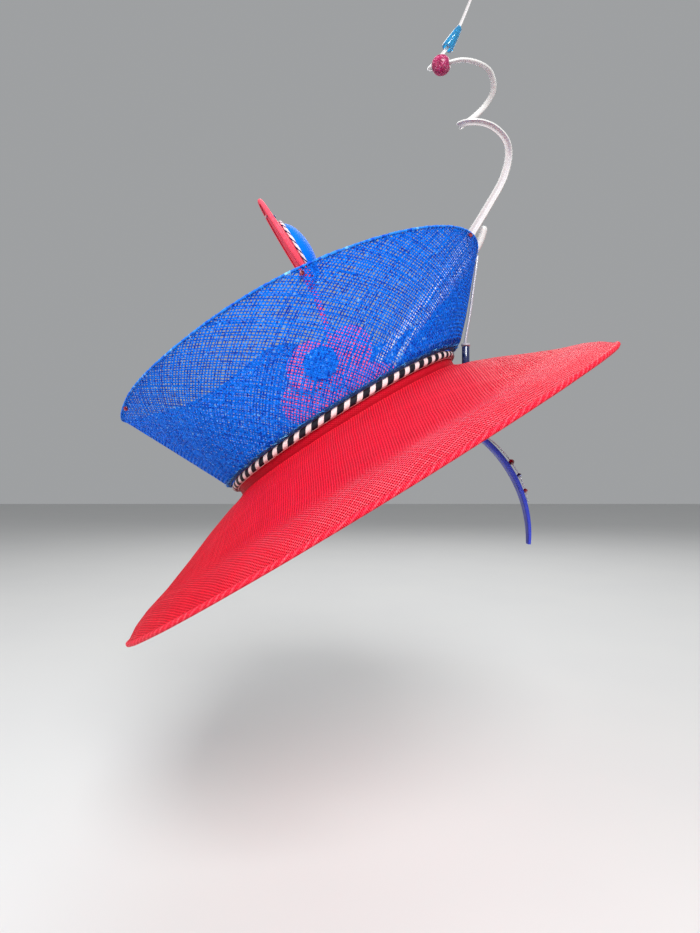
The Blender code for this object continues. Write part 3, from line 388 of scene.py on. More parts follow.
@dataclass(frozen=True)
class WovenStraw:
    """Straw cloth whose weave is drawn in the material.

    Two layers of cloth lie on each other a little turned, so their threads beat together in
    slow arcs, as they do on the real brim. Where the layers are swapped, the face's tone says
    which one lies on top. The crests of the threads carry a painted highlight in the glint
    colour, and the gaps and valleys between the threads carry painted shade in the shade colour.
    Where the cloth takes painted shade from its tone, the face's tone says how far it is lit.
    """

    name: str
    thread: Colour
    shade: Colour
    # glint is the colour of the painted highlight on the thread crests; glints is its strength.
    glint: Colour
    pitch: float = 1.7
    turn_deg: float = 0.0
    filled: float = 0.58
    glints: float = 0.25
    depth: float = 0.6
    swapped: bool = False
    # Whether the face's tone gives the cloth painted shade.
    shaded_by_tone: bool = False
    under_turn_deg: float = 39.0
    under_pitch_share: float = 0.94
    under_shows: float = 0.22
    wander: float = 1.2
    uneven: float = 0.3
    patch: float = 26.0
    darkening: float = 0.16
    # Painted highlight: the glints are weak left of the first of these places across the hat, in
    # millimetres, and at full strength right of the second.
    glint_fade_from: float = -130.0
    glint_fade_until: float = 20.0
    roughness: float = 0.5
    specular: float = 0.06

    def paint(self, paint: Paint) -> None:
        """Paint the cloth.

        Args:
            paint: the material to paint.
        """
        wires = paint.wires
        over, under = (
            paint.effect(
                "weave",
                Pitch=pitch,
                Turn=math.radians(turn_deg),
                Wander=self.wander,
                Filled=self.filled,
            )
            for turn_deg, pitch in (
                (self.turn_deg, self.pitch),
                (self.turn_deg - self.under_turn_deg, self.pitch * self.under_pitch_share),
            )
        )
        names = ("Cover", "Height", "Tone")
        cover, height, tone = (over[name] for name in names)
        beneath, painted_glint_share = under["Cover"], 1.0
        if self.swapped:
            outer = paint.tone()
            beneath = wires.blend(outer, beneath, cover)
            cover, height, tone = (wires.blend(outer, over[name], under[name]) for name in names)
            # Painted highlight: the glints are stronger beyond the crease and weaker towards the hat's
            # left side, where the light falls less on the brim.
            side = wires.ramp(
                wires.split(paint.place)[0], self.glint_fade_from, self.glint_fade_until, 0.15, 1.0
            )
            painted_glint_share = wires.math("MULTIPLY", wires.math("MULTIPLY_ADD", outer, 0.75, 0.25), side)
        patches = paint.effect("patches", Size=self.patch, Contrast=1.6)["Value"]
        # Painted shade: the gaps between the upper threads take the shade colour, lightened a little where
        # the threads of the lower layer show.
        below = wires.mix(wires.math("MULTIPLY", beneath, self.under_shows), self.shade, self.thread)
        dimmed = wires.mix(wires.math("MULTIPLY", tone, self.uneven), self.thread, self.shade)
        # Painted highlight: the crests of the threads are lightened towards the glint colour.
        crest = wires.ramp(height, 0.65, 1.2, 0.0, 1.0)
        bright = wires.math("MULTIPLY", wires.math("MULTIPLY_ADD", tone, 0.7, 0.3), crest)
        shine = wires.math("MULTIPLY", wires.math("MULTIPLY", bright, painted_glint_share), self.glints)
        top = wires.mix(shine, dimmed, self.glint)
        # Painted shade: the valleys between the threads are darkened towards the shade colour.
        valley = wires.ramp(height, 0.2, 0.95, 0.55, 0.0)
        cloth = wires.mix(valley, wires.mix(cover, below, top), self.shade)
        darkening = wires.math("MULTIPLY", patches, self.darkening)
        # Painted shade: where the face's tone is low, the cloth is darkened all the way to the shade
        # colour, as the collar is in the crease where it meets the brim.
        if self.shaded_by_tone:
            darkening = wires.blend(paint.tone(), 1.0, darkening)
        gloss = wires.math("MULTIPLY_ADD", tone, 0.18, self.roughness - 0.09)
        paint.relief(height, self.depth, 0.8)
        paint.surface(
            Base_Color=wires.mix(darkening, cloth, self.shade),
            Roughness=gloss,
            Specular_IOR_Level=self.specular,
        )


@dataclass(frozen=True)
class StrawThread:
    """Straw threads that are made as meshes, each with its own tone."""

    name: str
    deep: Colour
    plain: Colour
    pale: Colour
    roughness: float = 0.52
    pale_from: float = 0.72
    specular: float = 0.1

    def paint(self, paint: Paint) -> None:
        """Paint the threads.

        Args:
            paint: the material to paint.
        """
        wires = paint.wires
        tone = paint.tone()
        fibres = paint.effect("fibres", Width=0.22, Length=6.0)
        body = wires.mix(wires.ramp(tone, 0.0, 0.7, 0.0, 1.0), self.deep, self.plain)
        body = wires.mix(wires.math("MULTIPLY", fibres["Value"], 0.45), body, self.deep)
        # The palest tones take the pale colour. On the flare's threads these tones are partly painted
        # highlight, from the crossings and the painted highlight bands, and partly random tone.
        upper = wires.ramp(tone, self.pale_from, 1.0, 0.0, 0.7)
        paint.relief(fibres["Height"], 0.08, 0.6)
        paint.surface(
            Base_Color=wires.mix(upper, body, self.pale),
            Roughness=wires.math("MULTIPLY_ADD", fibres["Value"], 0.2, self.roughness - 0.1),
            Specular_IOR_Level=self.specular,
        )


@dataclass(frozen=True)
class StripedCloth:
    """Bias cut cloth with slanted stripes, pulled over a cord."""

    name: str
    dark: Colour
    light: Colour
    period: float
    slant: float
    share: float
    pitch: float = 0.32
    patch: float = 9.0
    specular: float = 0.15

    def paint(self, paint: Paint) -> None:
        """Paint the cloth.

        Args:
            paint: the material to paint.
        """
        wires = paint.wires
        mask = paint.effect(
            "stripes", Period=self.period, Slant=self.slant, Share=self.share
        )["Mask"]
        weave = paint.effect(
            "weave", Pitch=self.pitch, Turn=math.radians(45.0), Wander=0.1, Filled=0.8
        )
        patches = paint.effect("patches", Size=self.patch, Contrast=1.5)["Value"]
        dust = wires.math("MULTIPLY", patches, 0.14)
        light = wires.mix(dust, self.light, self.dark)
        dark = wires.mix(wires.math("MULTIPLY", dust, 0.1), self.dark, self.light)
        # Painted shade: the gaps between the threads of the weave are darkened towards a dim copy of the
        # dark stripe colour.
        between = wires.math("MULTIPLY", wires.math("SUBTRACT", 1.0, weave["Cover"]), 0.4)
        gap_shade = tuple(0.55 * part for part in self.dark)
        paint.relief(weave["Height"], 0.1, 0.6)
        paint.surface(
            Base_Color=wires.mix(between, wires.mix(mask, dark, light), gap_shade),
            Roughness=wires.math("MULTIPLY_ADD", weave["Height"], -0.12, 0.62),
            Specular_IOR_Level=self.specular,
        )


@dataclass(frozen=True)
class Streaked:
    """A smooth finish with fine streaks along it, such as a stripped quill, rod or satin."""

    name: str
    plain: Colour
    streak: Colour
    roughness: float = 0.35
    streaks: float = 0.4
    width: float = 0.25
    length: float = 30.0
    depth: float = 0.03
    patch: float = 14.0
    coat: float = 0.0
    clear: float = 0.0

    def paint(self, paint: Paint) -> None:
        """Paint the finish.

        Args:
            paint: the material to paint.
        """
        wires = paint.wires
        fibres = paint.effect("fibres", Width=self.width, Length=self.length)
        patches = paint.effect("patches", Size=self.patch, Contrast=2.0)["Value"]
        factor = wires.math("MULTIPLY", fibres["Value"], self.streaks)
        cloudy = wires.math("MULTIPLY", patches, 0.5 * self.streaks)
        paint.relief(fibres["Height"], self.depth, 0.7)
        paint.surface(
            Base_Color=wires.mix(wires.math("MAXIMUM", factor, cloudy), self.plain, self.streak),
            Roughness=wires.math("MULTIPLY_ADD", patches, 0.16, self.roughness - 0.08),
            Transmission_Weight=self.clear,
            Coat_Weight=self.coat,
            Coat_Roughness=0.1,
        )


@dataclass(frozen=True)
class CutStone:
    """Glitter and cut stones, whose facets differ in tone; the brightest facets carry a painted highlight.
    """

    name: str
    deep: Colour
    plain: Colour
    sparkle_highlight: Colour
    roughness: float = 0.12
    clear: float = 0.0
    patch: float = 1.2

    def paint(self, paint: Paint) -> None:
        """Paint the stones.

        Args:
            paint: the material to paint.
        """
        wires = paint.wires
        tone = paint.tone()
        body = wires.mix(wires.ramp(tone, 0.0, 0.6, 0.0, 1.0), self.deep, self.plain)
        patches = paint.effect("patches", Size=self.patch, Contrast=2.0)["Value"]
        cloudy = wires.mix(wires.math("MULTIPLY", patches, 0.3), body, self.deep)
        paint.surface(
            # Painted highlight: the facets of highest tone are lightened towards the sparkle colour, as
            # flashes of light on them.
            Base_Color=wires.mix(wires.ramp(tone, 0.8, 1.0, 0.0, 0.85), cloudy, self.sparkle_highlight),
            Roughness=wires.math("MULTIPLY_ADD", patches, 0.1, self.roughness - 0.04),
            Coat_Weight=0.6,
            Coat_Roughness=0.05,
            Transmission_Weight=self.clear,
        )


RED = (0.92, 0.004, 0.026)
RED_SHADE = (0.22, 0.000, 0.004)
# PINK is the colour of the painted highlight on the red cloth's threads.
PINK = (0.98, 0.30, 0.38)

FINISHES = {
    "brim": WovenStraw(
        "red straw cloth", RED, RED_SHADE, PINK, pitch=1.5, turn_deg=9.0, glints=0.7, swapped=True
    ),
    "disc": WovenStraw("inner red straw cloth", RED, RED_SHADE, PINK, pitch=1.5, turn_deg=9.0),
    "hem": WovenStraw(
        "folded red straw hem", (0.86, 0.010, 0.04), (0.50, 0.001, 0.012), (0.98, 0.36, 0.42),
        pitch=0.9, turn_deg=9.0, glints=0.3, depth=0.3,
    ),
    # The collar takes painted shade from its tone, darker towards the brim.
    "collar": WovenStraw(
        "dark red straw cloth", (0.72, 0.004, 0.026), (0.30, 0.000, 0.006), (0.90, 0.12, 0.17),
        pitch=1.2, turn_deg=30.0, filled=0.88, glints=0.2, shaded_by_tone=True, depth=0.3,
    ),
    "petal": WovenStraw(
        "red petal cloth", (0.82, 0.09, 0.24), (0.46, 0.02, 0.11), (0.95, 0.40, 0.58),
        pitch=1.5, turn_deg=12.0, filled=0.6, glints=0.5,
    ),
    "small brim": WovenStraw(
        "small brim cloth", (0.94, 0.085, 0.13), (0.82, 0.050, 0.085), (0.98, 0.30, 0.36),
        pitch=0.8, filled=0.9, glints=0.3, depth=0.04,
    ),
    "small crown": WovenStraw(
        "small crown cloth", (0.000, 0.17, 0.84), (0.000, 0.13, 0.70), (0.03, 0.32, 0.92),
        pitch=0.8, filled=0.9, glints=0.2, depth=0.04,
    ),
    "blue cloth": WovenStraw(
        "blue straw cloth", (0.000, 0.19, 0.92), (0.000, 0.045, 0.42), (0.08, 0.50, 0.96),
        pitch=1.4, turn_deg=20.0, filled=0.7, glints=0.35,
    ),
    "foot": WovenStraw(
        "navy frayed edge", (0.002, 0.065, 0.40), (0.001, 0.020, 0.16), (0.20, 0.62, 0.92),
        pitch=0.9, turn_deg=38.0, filled=0.6, glints=0.8,
    ),
    "thread": StrawThread(
        "blue straw thread", (0.000, 0.034, 0.40), (0.000, 0.215, 0.97), (0.24, 0.60, 0.86)
    ),
    "rim": StrawThread("rim straw thread", (0.003, 0.06, 0.5), (0.02, 0.24, 0.8), (0.3, 0.7, 0.95)),
    "fray": StrawThread(
        "frayed straw thread", (0.002, 0.06, 0.42), (0.03, 0.26, 0.8), (0.22, 0.66, 0.92)
    ),
    "stem": Streaked(
        "wrapped red stem", (0.72, 0.03, 0.12), (0.40, 0.01, 0.05),
        roughness=0.5, width=0.6, length=4.0, depth=0.2,
    ),
    "piping": StripedCloth(
        "striped piping cloth", (0.002, 0.002, 0.008), (0.84, 0.64, 0.64),
        period=TURN * 88.8 / 64.0, slant=-0.85, share=0.44,
    ),
    "piping lip": Streaked(
        "pale piping edge", (0.86, 0.62, 0.62), (0.60, 0.32, 0.34), roughness=0.6, depth=0.1
    ),
    "small piping": StripedCloth(
        "small striped piping cloth", (0.02, 0.03, 0.14), (0.92, 0.86, 0.86),
        period=TURN * 26.5 / 22.0, slant=-1.9, share=0.66,
    ),
    "quill": Streaked(
        "stripped quill", (0.57, 0.565, 0.55), (0.49, 0.48, 0.48),
        roughness=0.3, streaks=0.25, width=0.8, length=40.0, depth=0.003, coat=0.25,
    ),
    # Painted shade: the groove's faces are a little darker than the rest of the quill, as the shade inside
    # the groove.
    "groove": Streaked(
        "quill groove", (0.53, 0.51, 0.515), (0.46, 0.43, 0.45),
        roughness=0.4, streaks=0.25, width=0.7, length=40.0, depth=0.003,
    ),
    "stalk": Streaked(
        "grey rod", (0.36, 0.355, 0.39), (0.22, 0.215, 0.25), roughness=0.3, coat=0.4
    ),
    "tube": Streaked(
        "navy tube", (0.010, 0.018, 0.085), (0.04, 0.07, 0.25), roughness=0.2, coat=0.6, clear=0.35
    ),
    "satin": Streaked(
        "blue satin", (0.020, 0.045, 0.55), (0.005, 0.010, 0.26),
        roughness=0.42, streaks=0.5, width=1.2, length=0.16, depth=0.05,
    ),
    "wire": Streaked(
        "clear wire", (0.72, 0.72, 0.76), (0.5, 0.5, 0.56), roughness=0.15, streaks=0.2, clear=0.5
    ),
    "glitter": CutStone(
        "crimson glitter", (0.22, 0.005, 0.06), (0.50, 0.02, 0.13), (0.78, 0.26, 0.44), roughness=0.42
    ),
    "red stone": CutStone(
        "dark red stone", (0.10, 0.001, 0.006), (0.36, 0.006, 0.03), (0.9, 0.35, 0.42), clear=0.3
    ),
    "navy stone": CutStone(
        "navy stone", (0.004, 0.006, 0.05), (0.02, 0.03, 0.22), (0.45, 0.5, 0.8), clear=0.3
    ),
    "pale stone": CutStone(
        "pale stone", (0.35, 0.10, 0.14), (0.78, 0.42, 0.46), (0.98, 0.9, 0.92), clear=0.4
    ),
    "lucite": Streaked(
        "cyan lucite", (0.01, 0.30, 0.66), (0.06, 0.56, 0.80),
        roughness=0.16, streaks=0.45, width=2.4, length=14.0, coat=0.8, clear=0.65,
    ),
}


class Wardrobe:
    """Every material, made when it is first asked for."""

    def __init__(self) -> None:
        """Build the shared groups."""
        self.effects = Effects()
        self.made: dict[str, bpy.types.Material] = {}

    def material(self, name: str) -> bpy.types.Material:
        """Find or make a material.

        Args:
            name: the finish's name.

        Returns:
            The material.
        """
        if name not in self.made:
            finish = FINISHES[name]
            paint = Paint(finish.name, self.effects)
            finish.paint(paint)
            self.made[name] = paint.material
        return self.made[name]


# Curves and meshes


def unit(rows: Array) -> Array:
    """Directions made 1 long."""
    return rows / np.linalg.norm(rows, axis=-1, keepdims=True)


def spread(*parts: float | Array) -> Array:
    """Points or cloth places from coordinates that are spread over one grid."""
    return np.stack(np.broadcast_arrays(*parts), axis=-1)


def polar(radius: float | Array, azimuth_deg: float | Array, height: float | Array) -> Array:
    """Points from a radius, an azimuth and a height."""
    azimuth = np.radians(azimuth_deg)
    return spread(radius * np.cos(azimuth), radius * np.sin(azimuth), height)


def compass(steps: int) -> Array:
    """Evenly spaced azimuths, in degrees."""
    return 360.0 * np.arange(steps) / steps


def circle(sides: int) -> Array:
    """Points of a circle of radius 1, as rows of (side, face)."""
    turn = TURN * np.arange(sides) / sides
    return np.stack([np.cos(turn), np.sin(turn)], axis=1)


def turned(around: float, first: Array, second: Array) -> tuple[Array, Array]:
    """Turn two coordinates by an angle in radians, the first one towards the second."""
    cosine, sine = math.cos(around), math.sin(around)
    return first * cosine - second * sine, first * sine + second * cosine


def spokes(outline: Array, side: Array, face: Array) -> Array:
    """Set an outline's (side, face) points on two directions."""
    return outline[:, :1] * side + outline[:, 1:] * face


def lathe(rows: Array, foot: Array, along: Array, round_about: Array) -> Array:
    """Turn (distance, radius) rows on an axis through a foot point."""
    return foot + rows[:, 0, None, None] * along + rows[:, 1, None, None] * round_about


def ring_cloth(azimuths: Array, radius: float, across: Array) -> Array:
    """Cloth places on a ring, in millimetres round it, with one row more to close it."""
    run = np.radians(np.append(azimuths, 360.0)) * radius
    return spread(run[:, None], across[None])


def flat_cloth(points: Array) -> Array:
    """Cloth places seen from above, with one column more to close the grid."""
    return np.concatenate([points[..., :2], points[:, :1, :2]], axis=1)


def counted_cloth(rows: int, sides: int, across: float, along: float) -> Array:
    """Cloth places by a grid's rows and columns, with one column more to close it."""
    return spread(np.arange(sides + 1)[None] * across, np.arange(rows)[:, None] * along)


def run_along(curve: Array, closed: bool) -> Array:
    """Measure a curve.

    Args:
        curve: the curve's points.
        closed: go back to the first point at the end.

    Returns:
        The length from the start to each point.
    """
    path = np.vstack([curve, curve[:1]]) if closed else curve
    steps = np.linalg.norm(np.diff(path, axis=0), axis=1)
    return np.concatenate([[0.0], np.cumsum(steps)])


def eased(before: Array, start: Array, end: Array, after: Array, t: Array) -> Array:
    """Go smoothly from one value to the next.

    Args:
        before: the value before the start.
        start: the value at 0.
        end: the value at 1.
        after: the value after the end.
        t: where to read it, from 0 to 1.

    Returns:
        The values.
    """
    bend = (2.0 * before - 5.0 * start + 4.0 * end - after) * t**2
    twist = (3.0 * start - 3.0 * end + after - before) * t**3
    return start + ((end - before) * t + bend + twist) * 0.5


def even_points(path: Array, steps: int) -> Array:
    """Set evenly spaced points on a line of straight stretches.

    Args:
        path: the line's corners, one to a row.
        steps: how many equal steps it is cut in.

    Returns:
        The points, steps + 1 rows.
    """
    run = run_along(path, False)
    goals = np.linspace(0.0, run[-1], steps + 1)
    return np.stack([np.interp(goals, run, column) for column in path.T], axis=1)


def smooth_curve(points: Array, steps: int, samples: int = 24) -> Array:
    """Set evenly spaced points on a smooth curve through the given ones.

    Args:
        points: the points, one to a row.
        steps: how many equal steps the curve is cut in.
        samples: how finely each stretch is read.

    Returns:
        The points of the curve, steps + 1 rows.
    """
    padded = np.vstack([points[:1], points, points[-1:]])
    t = (np.arange(samples) / samples)[:, None]
    dense = [eased(*padded[index : index + 4], t) for index in range(len(points) - 1)]
    return even_points(np.vstack([*dense, points[-1:]]), steps)


def cyclic_value(rows: Array, column: int, azimuth_deg: Array) -> Array:
    """Read a table whose first column is an azimuth, smooth all the way round.

    Args:
        rows: the table.
        column: the column to read.
        azimuth_deg: where to read it.

    Returns:
        The value at each azimuth.
    """
    starts, values, count = rows[:, 0], rows[:, column], len(rows)
    azimuth = (np.asarray(azimuth_deg, float) - starts[0]) % 360.0 + starts[0]
    index = np.searchsorted(starts, azimuth, side="right") - 1
    following = (index + 1) % count
    t = (azimuth - starts[index]) / ((starts[following] - starts[index]) % 360.0)
    before, after = values[index - 1], values[(index + 2) % count]
    return eased(before, values[index], values[following], after, t)


def carried_frames(curve: Array, side: Array) -> tuple[Array, Array]:
    """Carry a side direction along a curve without twist.

    Args:
        curve: the curve's points.
        side: the first side direction.

    Returns:
        The side direction and the face direction at each point.
    """
    tangents = unit(np.gradient(curve, axis=0))
    sides = []
    for tangent in tangents:
        side = unit(side - tangent * (side @ tangent))
        sides.append(side)
    across = np.array(sides)
    return across, np.cross(tangents, across)


def swept(curve: Array, frames: tuple[Array, Array], outline: Array, size: Array) -> Array:
    """Carry an outline along a curve.

    Args:
        curve: the curve's points.
        frames: the side and face directions at each point.
        outline: (side, face) points.
        size: the outline's size at each point.

    Returns:
        A row of points for each point of the curve.
    """
    across, face = frames
    ring = across[:, None] * outline[None, :, :1] + face[:, None] * outline[None, :, 1:]
    return curve[:, None] + size[:, None, None] * ring


def wall_outline(line: Array, wall: float, edge_radius: float, edge_steps: int) -> Array:
    """Close a wall along a line, with a round rim at its end.

    Args:
        line: (radius, height) points of one face, foot first.
        wall: thickness, inside the line, or below it where negative.
        edge_radius: radius of the rim.
        edge_steps: how many steps the rim's round has.

    Returns:
        The closed outline.
    """
    runs = unit(np.gradient(line, axis=0))
    inner = line + np.stack([-runs[:, 1], runs[:, 0]], axis=1) * wall
    run = runs[-1]
    outward = np.array([run[1], -run[0]]) * math.copysign(1.0, wall)
    middle = 0.5 * (line[-1] + inner[-1]) + run * edge_radius
    turns = np.linspace(0.5 * np.pi, -0.5 * np.pi, edge_steps + 1)[:, None]
    rim = middle + edge_radius * (outward * np.sin(turns) + run * np.cos(turns))
    return np.vstack([line, rim, inner[::-1]])


class Skin:
    """Faces with cloth coordinates, tones and looks, which become one object."""

    def __init__(self) -> None:
        """Start with no faces."""
        self.count = 0
        self.points: list[Array] = []
        self.faces: list[Array] = []
        self.corners: list[Array] = []
        self.tones: list[Array] = []
        self.looks: list[Array] = []

    def add(
        self, points: Array, faces: Array, corners: Array, tone: float | Array, look: int | Array
    ) -> None:
        """Add faces of one size.

        Args:
            points: new points, one to a row.
            faces: rows of indices, 0 for the first of those points.
            corners: the cloth coordinates of each face's corners.
            tone: one tone, or one for each face.
            look: one look, or one for each face.
        """
        self.points.append(points)
        self.faces.append(faces + self.count)
        self.corners.append(corners)
        self.tones.append(np.broadcast_to(np.asarray(tone, float), len(faces)))
        self.looks.append(np.broadcast_to(np.asarray(look, int), len(faces)))
        self.count += len(points)

    def grid(
        self,
        points: Array,
        cloth: Array,
        around: bool = False,
        along: bool = False,
        caps: bool = False,
        tone: float | Array = 0.5,
        look: int | Array = 0,
    ) -> Skin:
        """Skin a grid of points.

        Args:
            points: rows x columns x 3.
            cloth: cloth coordinates, with a row or column more where the grid closes.
            around: join the last column to the first.
            along: join the last row to the first.
            caps: close the first and the last row with a face.
            tone: one tone, one for each stretch between rows, or one for each face.
            look: one look, or rows x columns of looks for the faces.

        Returns:
            This skin.
        """
        rows, columns = points.shape[:2]
        index = np.arange(rows * columns).reshape(rows, columns)
        index = np.pad(index, ((0, int(along)), (0, int(around))), mode="wrap")
        faces, corners = (
            np.stack([part[:-1, :-1], part[:-1, 1:], part[1:, 1:], part[1:, :-1]], 2)
            for part in (index, cloth)
        )
        stretches, across = faces.shape[:2]
        if np.ndim(tone) == 1 and len(tone) == stretches:
            tone = np.repeat(tone, across)
        if np.ndim(look) == 2:
            look = np.asarray(look).ravel()
        first = self.count
        self.add(points.reshape(-1, 3), faces.reshape(-1, 4), corners.reshape(-1, 4, 2), tone, look)
        if caps:
            for row in (0, rows - 1):
                ring = np.append(index[row, :columns], index[row, 0]) + first - self.count
                fan = np.column_stack([ring[:-1], ring[1:], np.zeros(columns, int)])
                place = np.broadcast_to(cloth[row, 0], (columns, 3, 2))
                middle = points[row].mean(axis=0)[None]
                self.add(middle, fan, place, float(np.mean(tone)), int(np.ravel(look)[0]))
        return self

    def tube(
        self,
        curve: Array,
        radius: float | Array,
        sides: int,
        side: Array,
        closed: bool = False,
        tone: float | Array = 0.5,
        look: int = 0,
    ) -> Skin:
        """Skin a round tube along a curve.

        Args:
            curve: the curve's points.
            radius: one radius, or one for each point.
            sides: faces round the tube.
            side: a direction across its start.
            closed: the curve is a ring.
            tone: one tone, or one for each stretch.
            look: its look.

        Returns:
            This skin.
        """
        radii = np.broadcast_to(np.asarray(radius, float), len(curve))
        places = swept(curve, carried_frames(curve, side), circle(sides), radii)
        girth = TURN * float(radii.mean()) * np.arange(sides + 1) / sides
        cloth = np.stack(np.meshgrid(girth, run_along(curve, closed)), axis=-1)
        return self.grid(places, cloth, True, closed, not closed, tone, look)

    def build(
        self, name: str, materials: list[bpy.types.Material], sharp_deg: float
    ) -> bpy.types.Object:
        """Make the object.

        Args:
            name: the object's name.
            materials: its materials, by look.
            sharp_deg: edges that bend more than this stay sharp.

        Returns:
            The object, in metres.
        """
        faces = [row for block in self.faces for row in block.tolist()]
        mesh = bpy.data.meshes.new(name)
        mesh.from_pydata((np.concatenate(self.points) * MM).tolist(), [], faces)
        corners = np.concatenate([block.reshape(-1, 2) for block in self.corners])
        layer = mesh.uv_layers.new(name=CLOTH)
        layer.data.foreach_set("uv", corners.astype(np.float32).ravel())
        tones = mesh.attributes.new(TONE, "FLOAT", "FACE")
        tones.data.foreach_set("value", np.concatenate(self.tones).astype(np.float32))
        mesh.polygons.foreach_set("material_index", np.concatenate(self.looks).astype(np.int32))
        for material in materials:
            mesh.materials.append(material)
        bm = bmesh.new()
        bm.from_mesh(mesh)
        bmesh.ops.recalc_face_normals(bm, faces=bm.faces)
        bm.to_mesh(mesh)
        bm.free()
        mesh.shade_smooth()
        mesh.set_sharp_from_angle(angle=math.radians(sharp_deg))
        body = bpy.data.objects.new(name, mesh)
        bpy.context.scene.collection.objects.link(body)
        return body


@dataclass(frozen=True)
class HatFrame:
    """Where the hat sits on the headband, and the sizes that its pieces share."""

    tilt_deg: float = 31.5
    lean_deg: float = 2.1
    slide: float = 7.7
    band_inner_radius: float = 88.5
    band_thick: float = 3.5
    band_width: float = 12.0
    collar_radius: float = 86.7
    collar_wall: float = 1.2
    piping_rise: float = 1.2
    piping_radius: float = 1.8
    tip_edge_drop: float = 3.0
    tip_dome: float = 6.6
    tip_wall: float = 1.2

    @property
    def tip_radius(self) -> float:
        """Radius of the disc that closes the collar."""
        return self.collar_radius - self.collar_wall - GAP

    def tip_height(self, radius: float | Array) -> float | Array:
        """Height of the underside of the disc that closes the collar."""
        return self.tip_dome - self.tip_edge_drop - self.tip_dome * (radius / self.tip_radius) ** 2

    def floor(self, across: float, forward: float) -> float:
        """Height of the disc's upper face at a place in the hat."""
        return self.tip_height(math.hypot(across, forward)) + self.tip_wall

    def axes(self) -> Array:
        """Work out how the hat is tilted.

        Returns:
            Its right, front and up directions, as columns.
        """
        tilt, lean = math.radians(self.tilt_deg), math.radians(self.lean_deg)
        up = np.array([
            -math.sin(tilt) * math.cos(lean), math.sin(lean), math.cos(tilt) * math.cos(lean)
        ])
        right = np.array([math.cos(tilt), 0.0, math.sin(tilt)])
        return np.stack([right, np.cross(up, right), up], axis=1)

    def origin(self) -> Array:
        """Work out where the hat sits, so that its disc just clears the band.

        Returns:
            The middle of the hat's plane of height 0.
        """
        columns = self.axes()
        clear = GAP + 0.5 * self.band_width * math.tan(math.radians(self.lean_deg))
        off = self.band_inner_radius + self.band_thick + clear - self.tip_height(self.slide)
        middle = np.array([0.0, 0.0, -self.band_inner_radius])
        return middle + columns[:, 2] * off + columns[:, 0] * self.slide

    def placed(self, points: Array) -> Array:
        """Carry points of the hat's frame to the part's frame."""
        return points @ self.axes().T + self.origin()


class Workshop:
    """What all the sub-assemblies share: the hat's frame, the materials and the dice."""

    def __init__(self) -> None:
        """Set up the frame, the materials and the seeded dice."""
        self.hat = HatFrame()
        self.wardrobe = Wardrobe()
        self.dice = np.random.default_rng(SEED)


@dataclass
class SubAssembly:
    """What every sub-assembly has: the workshop, and a way to turn faces into pieces."""

    shop: Workshop

    @property
    def hat(self) -> HatFrame:
        """The hat's frame and shared sizes."""
        return self.shop.hat

    def put(
        self,
        name: str,
        skin: Skin,
        finishes: list[str],
        slot: Slot,
        replaces: tuple[str, ...] = (),
        sharp_deg: float = 40.0,
        in_hat: bool = True,
    ) -> None:
        """Turn a skin into a piece that rides on the part.

        Args:
            name: the piece's name.
            skin: its faces.
            finishes: names of its finishes, by look.
            slot: the record's material slot; not used.
            replaces: the nodes that it stands for.
            sharp_deg: edges that bend more than this stay sharp.
            in_hat: its points are in the hat's frame.
        """
        if in_hat:
            skin.points = [self.hat.placed(block) for block in skin.points]
        materials = [self.shop.wardrobe.material(finish) for finish in finishes]
        piece = skin.build(name, materials, sharp_deg)
        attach(piece, "root")
        if replaces:
            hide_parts(*replaces)
        log.info("%s: %d faces", name, len(piece.data.polygons))


# The brim and the collar


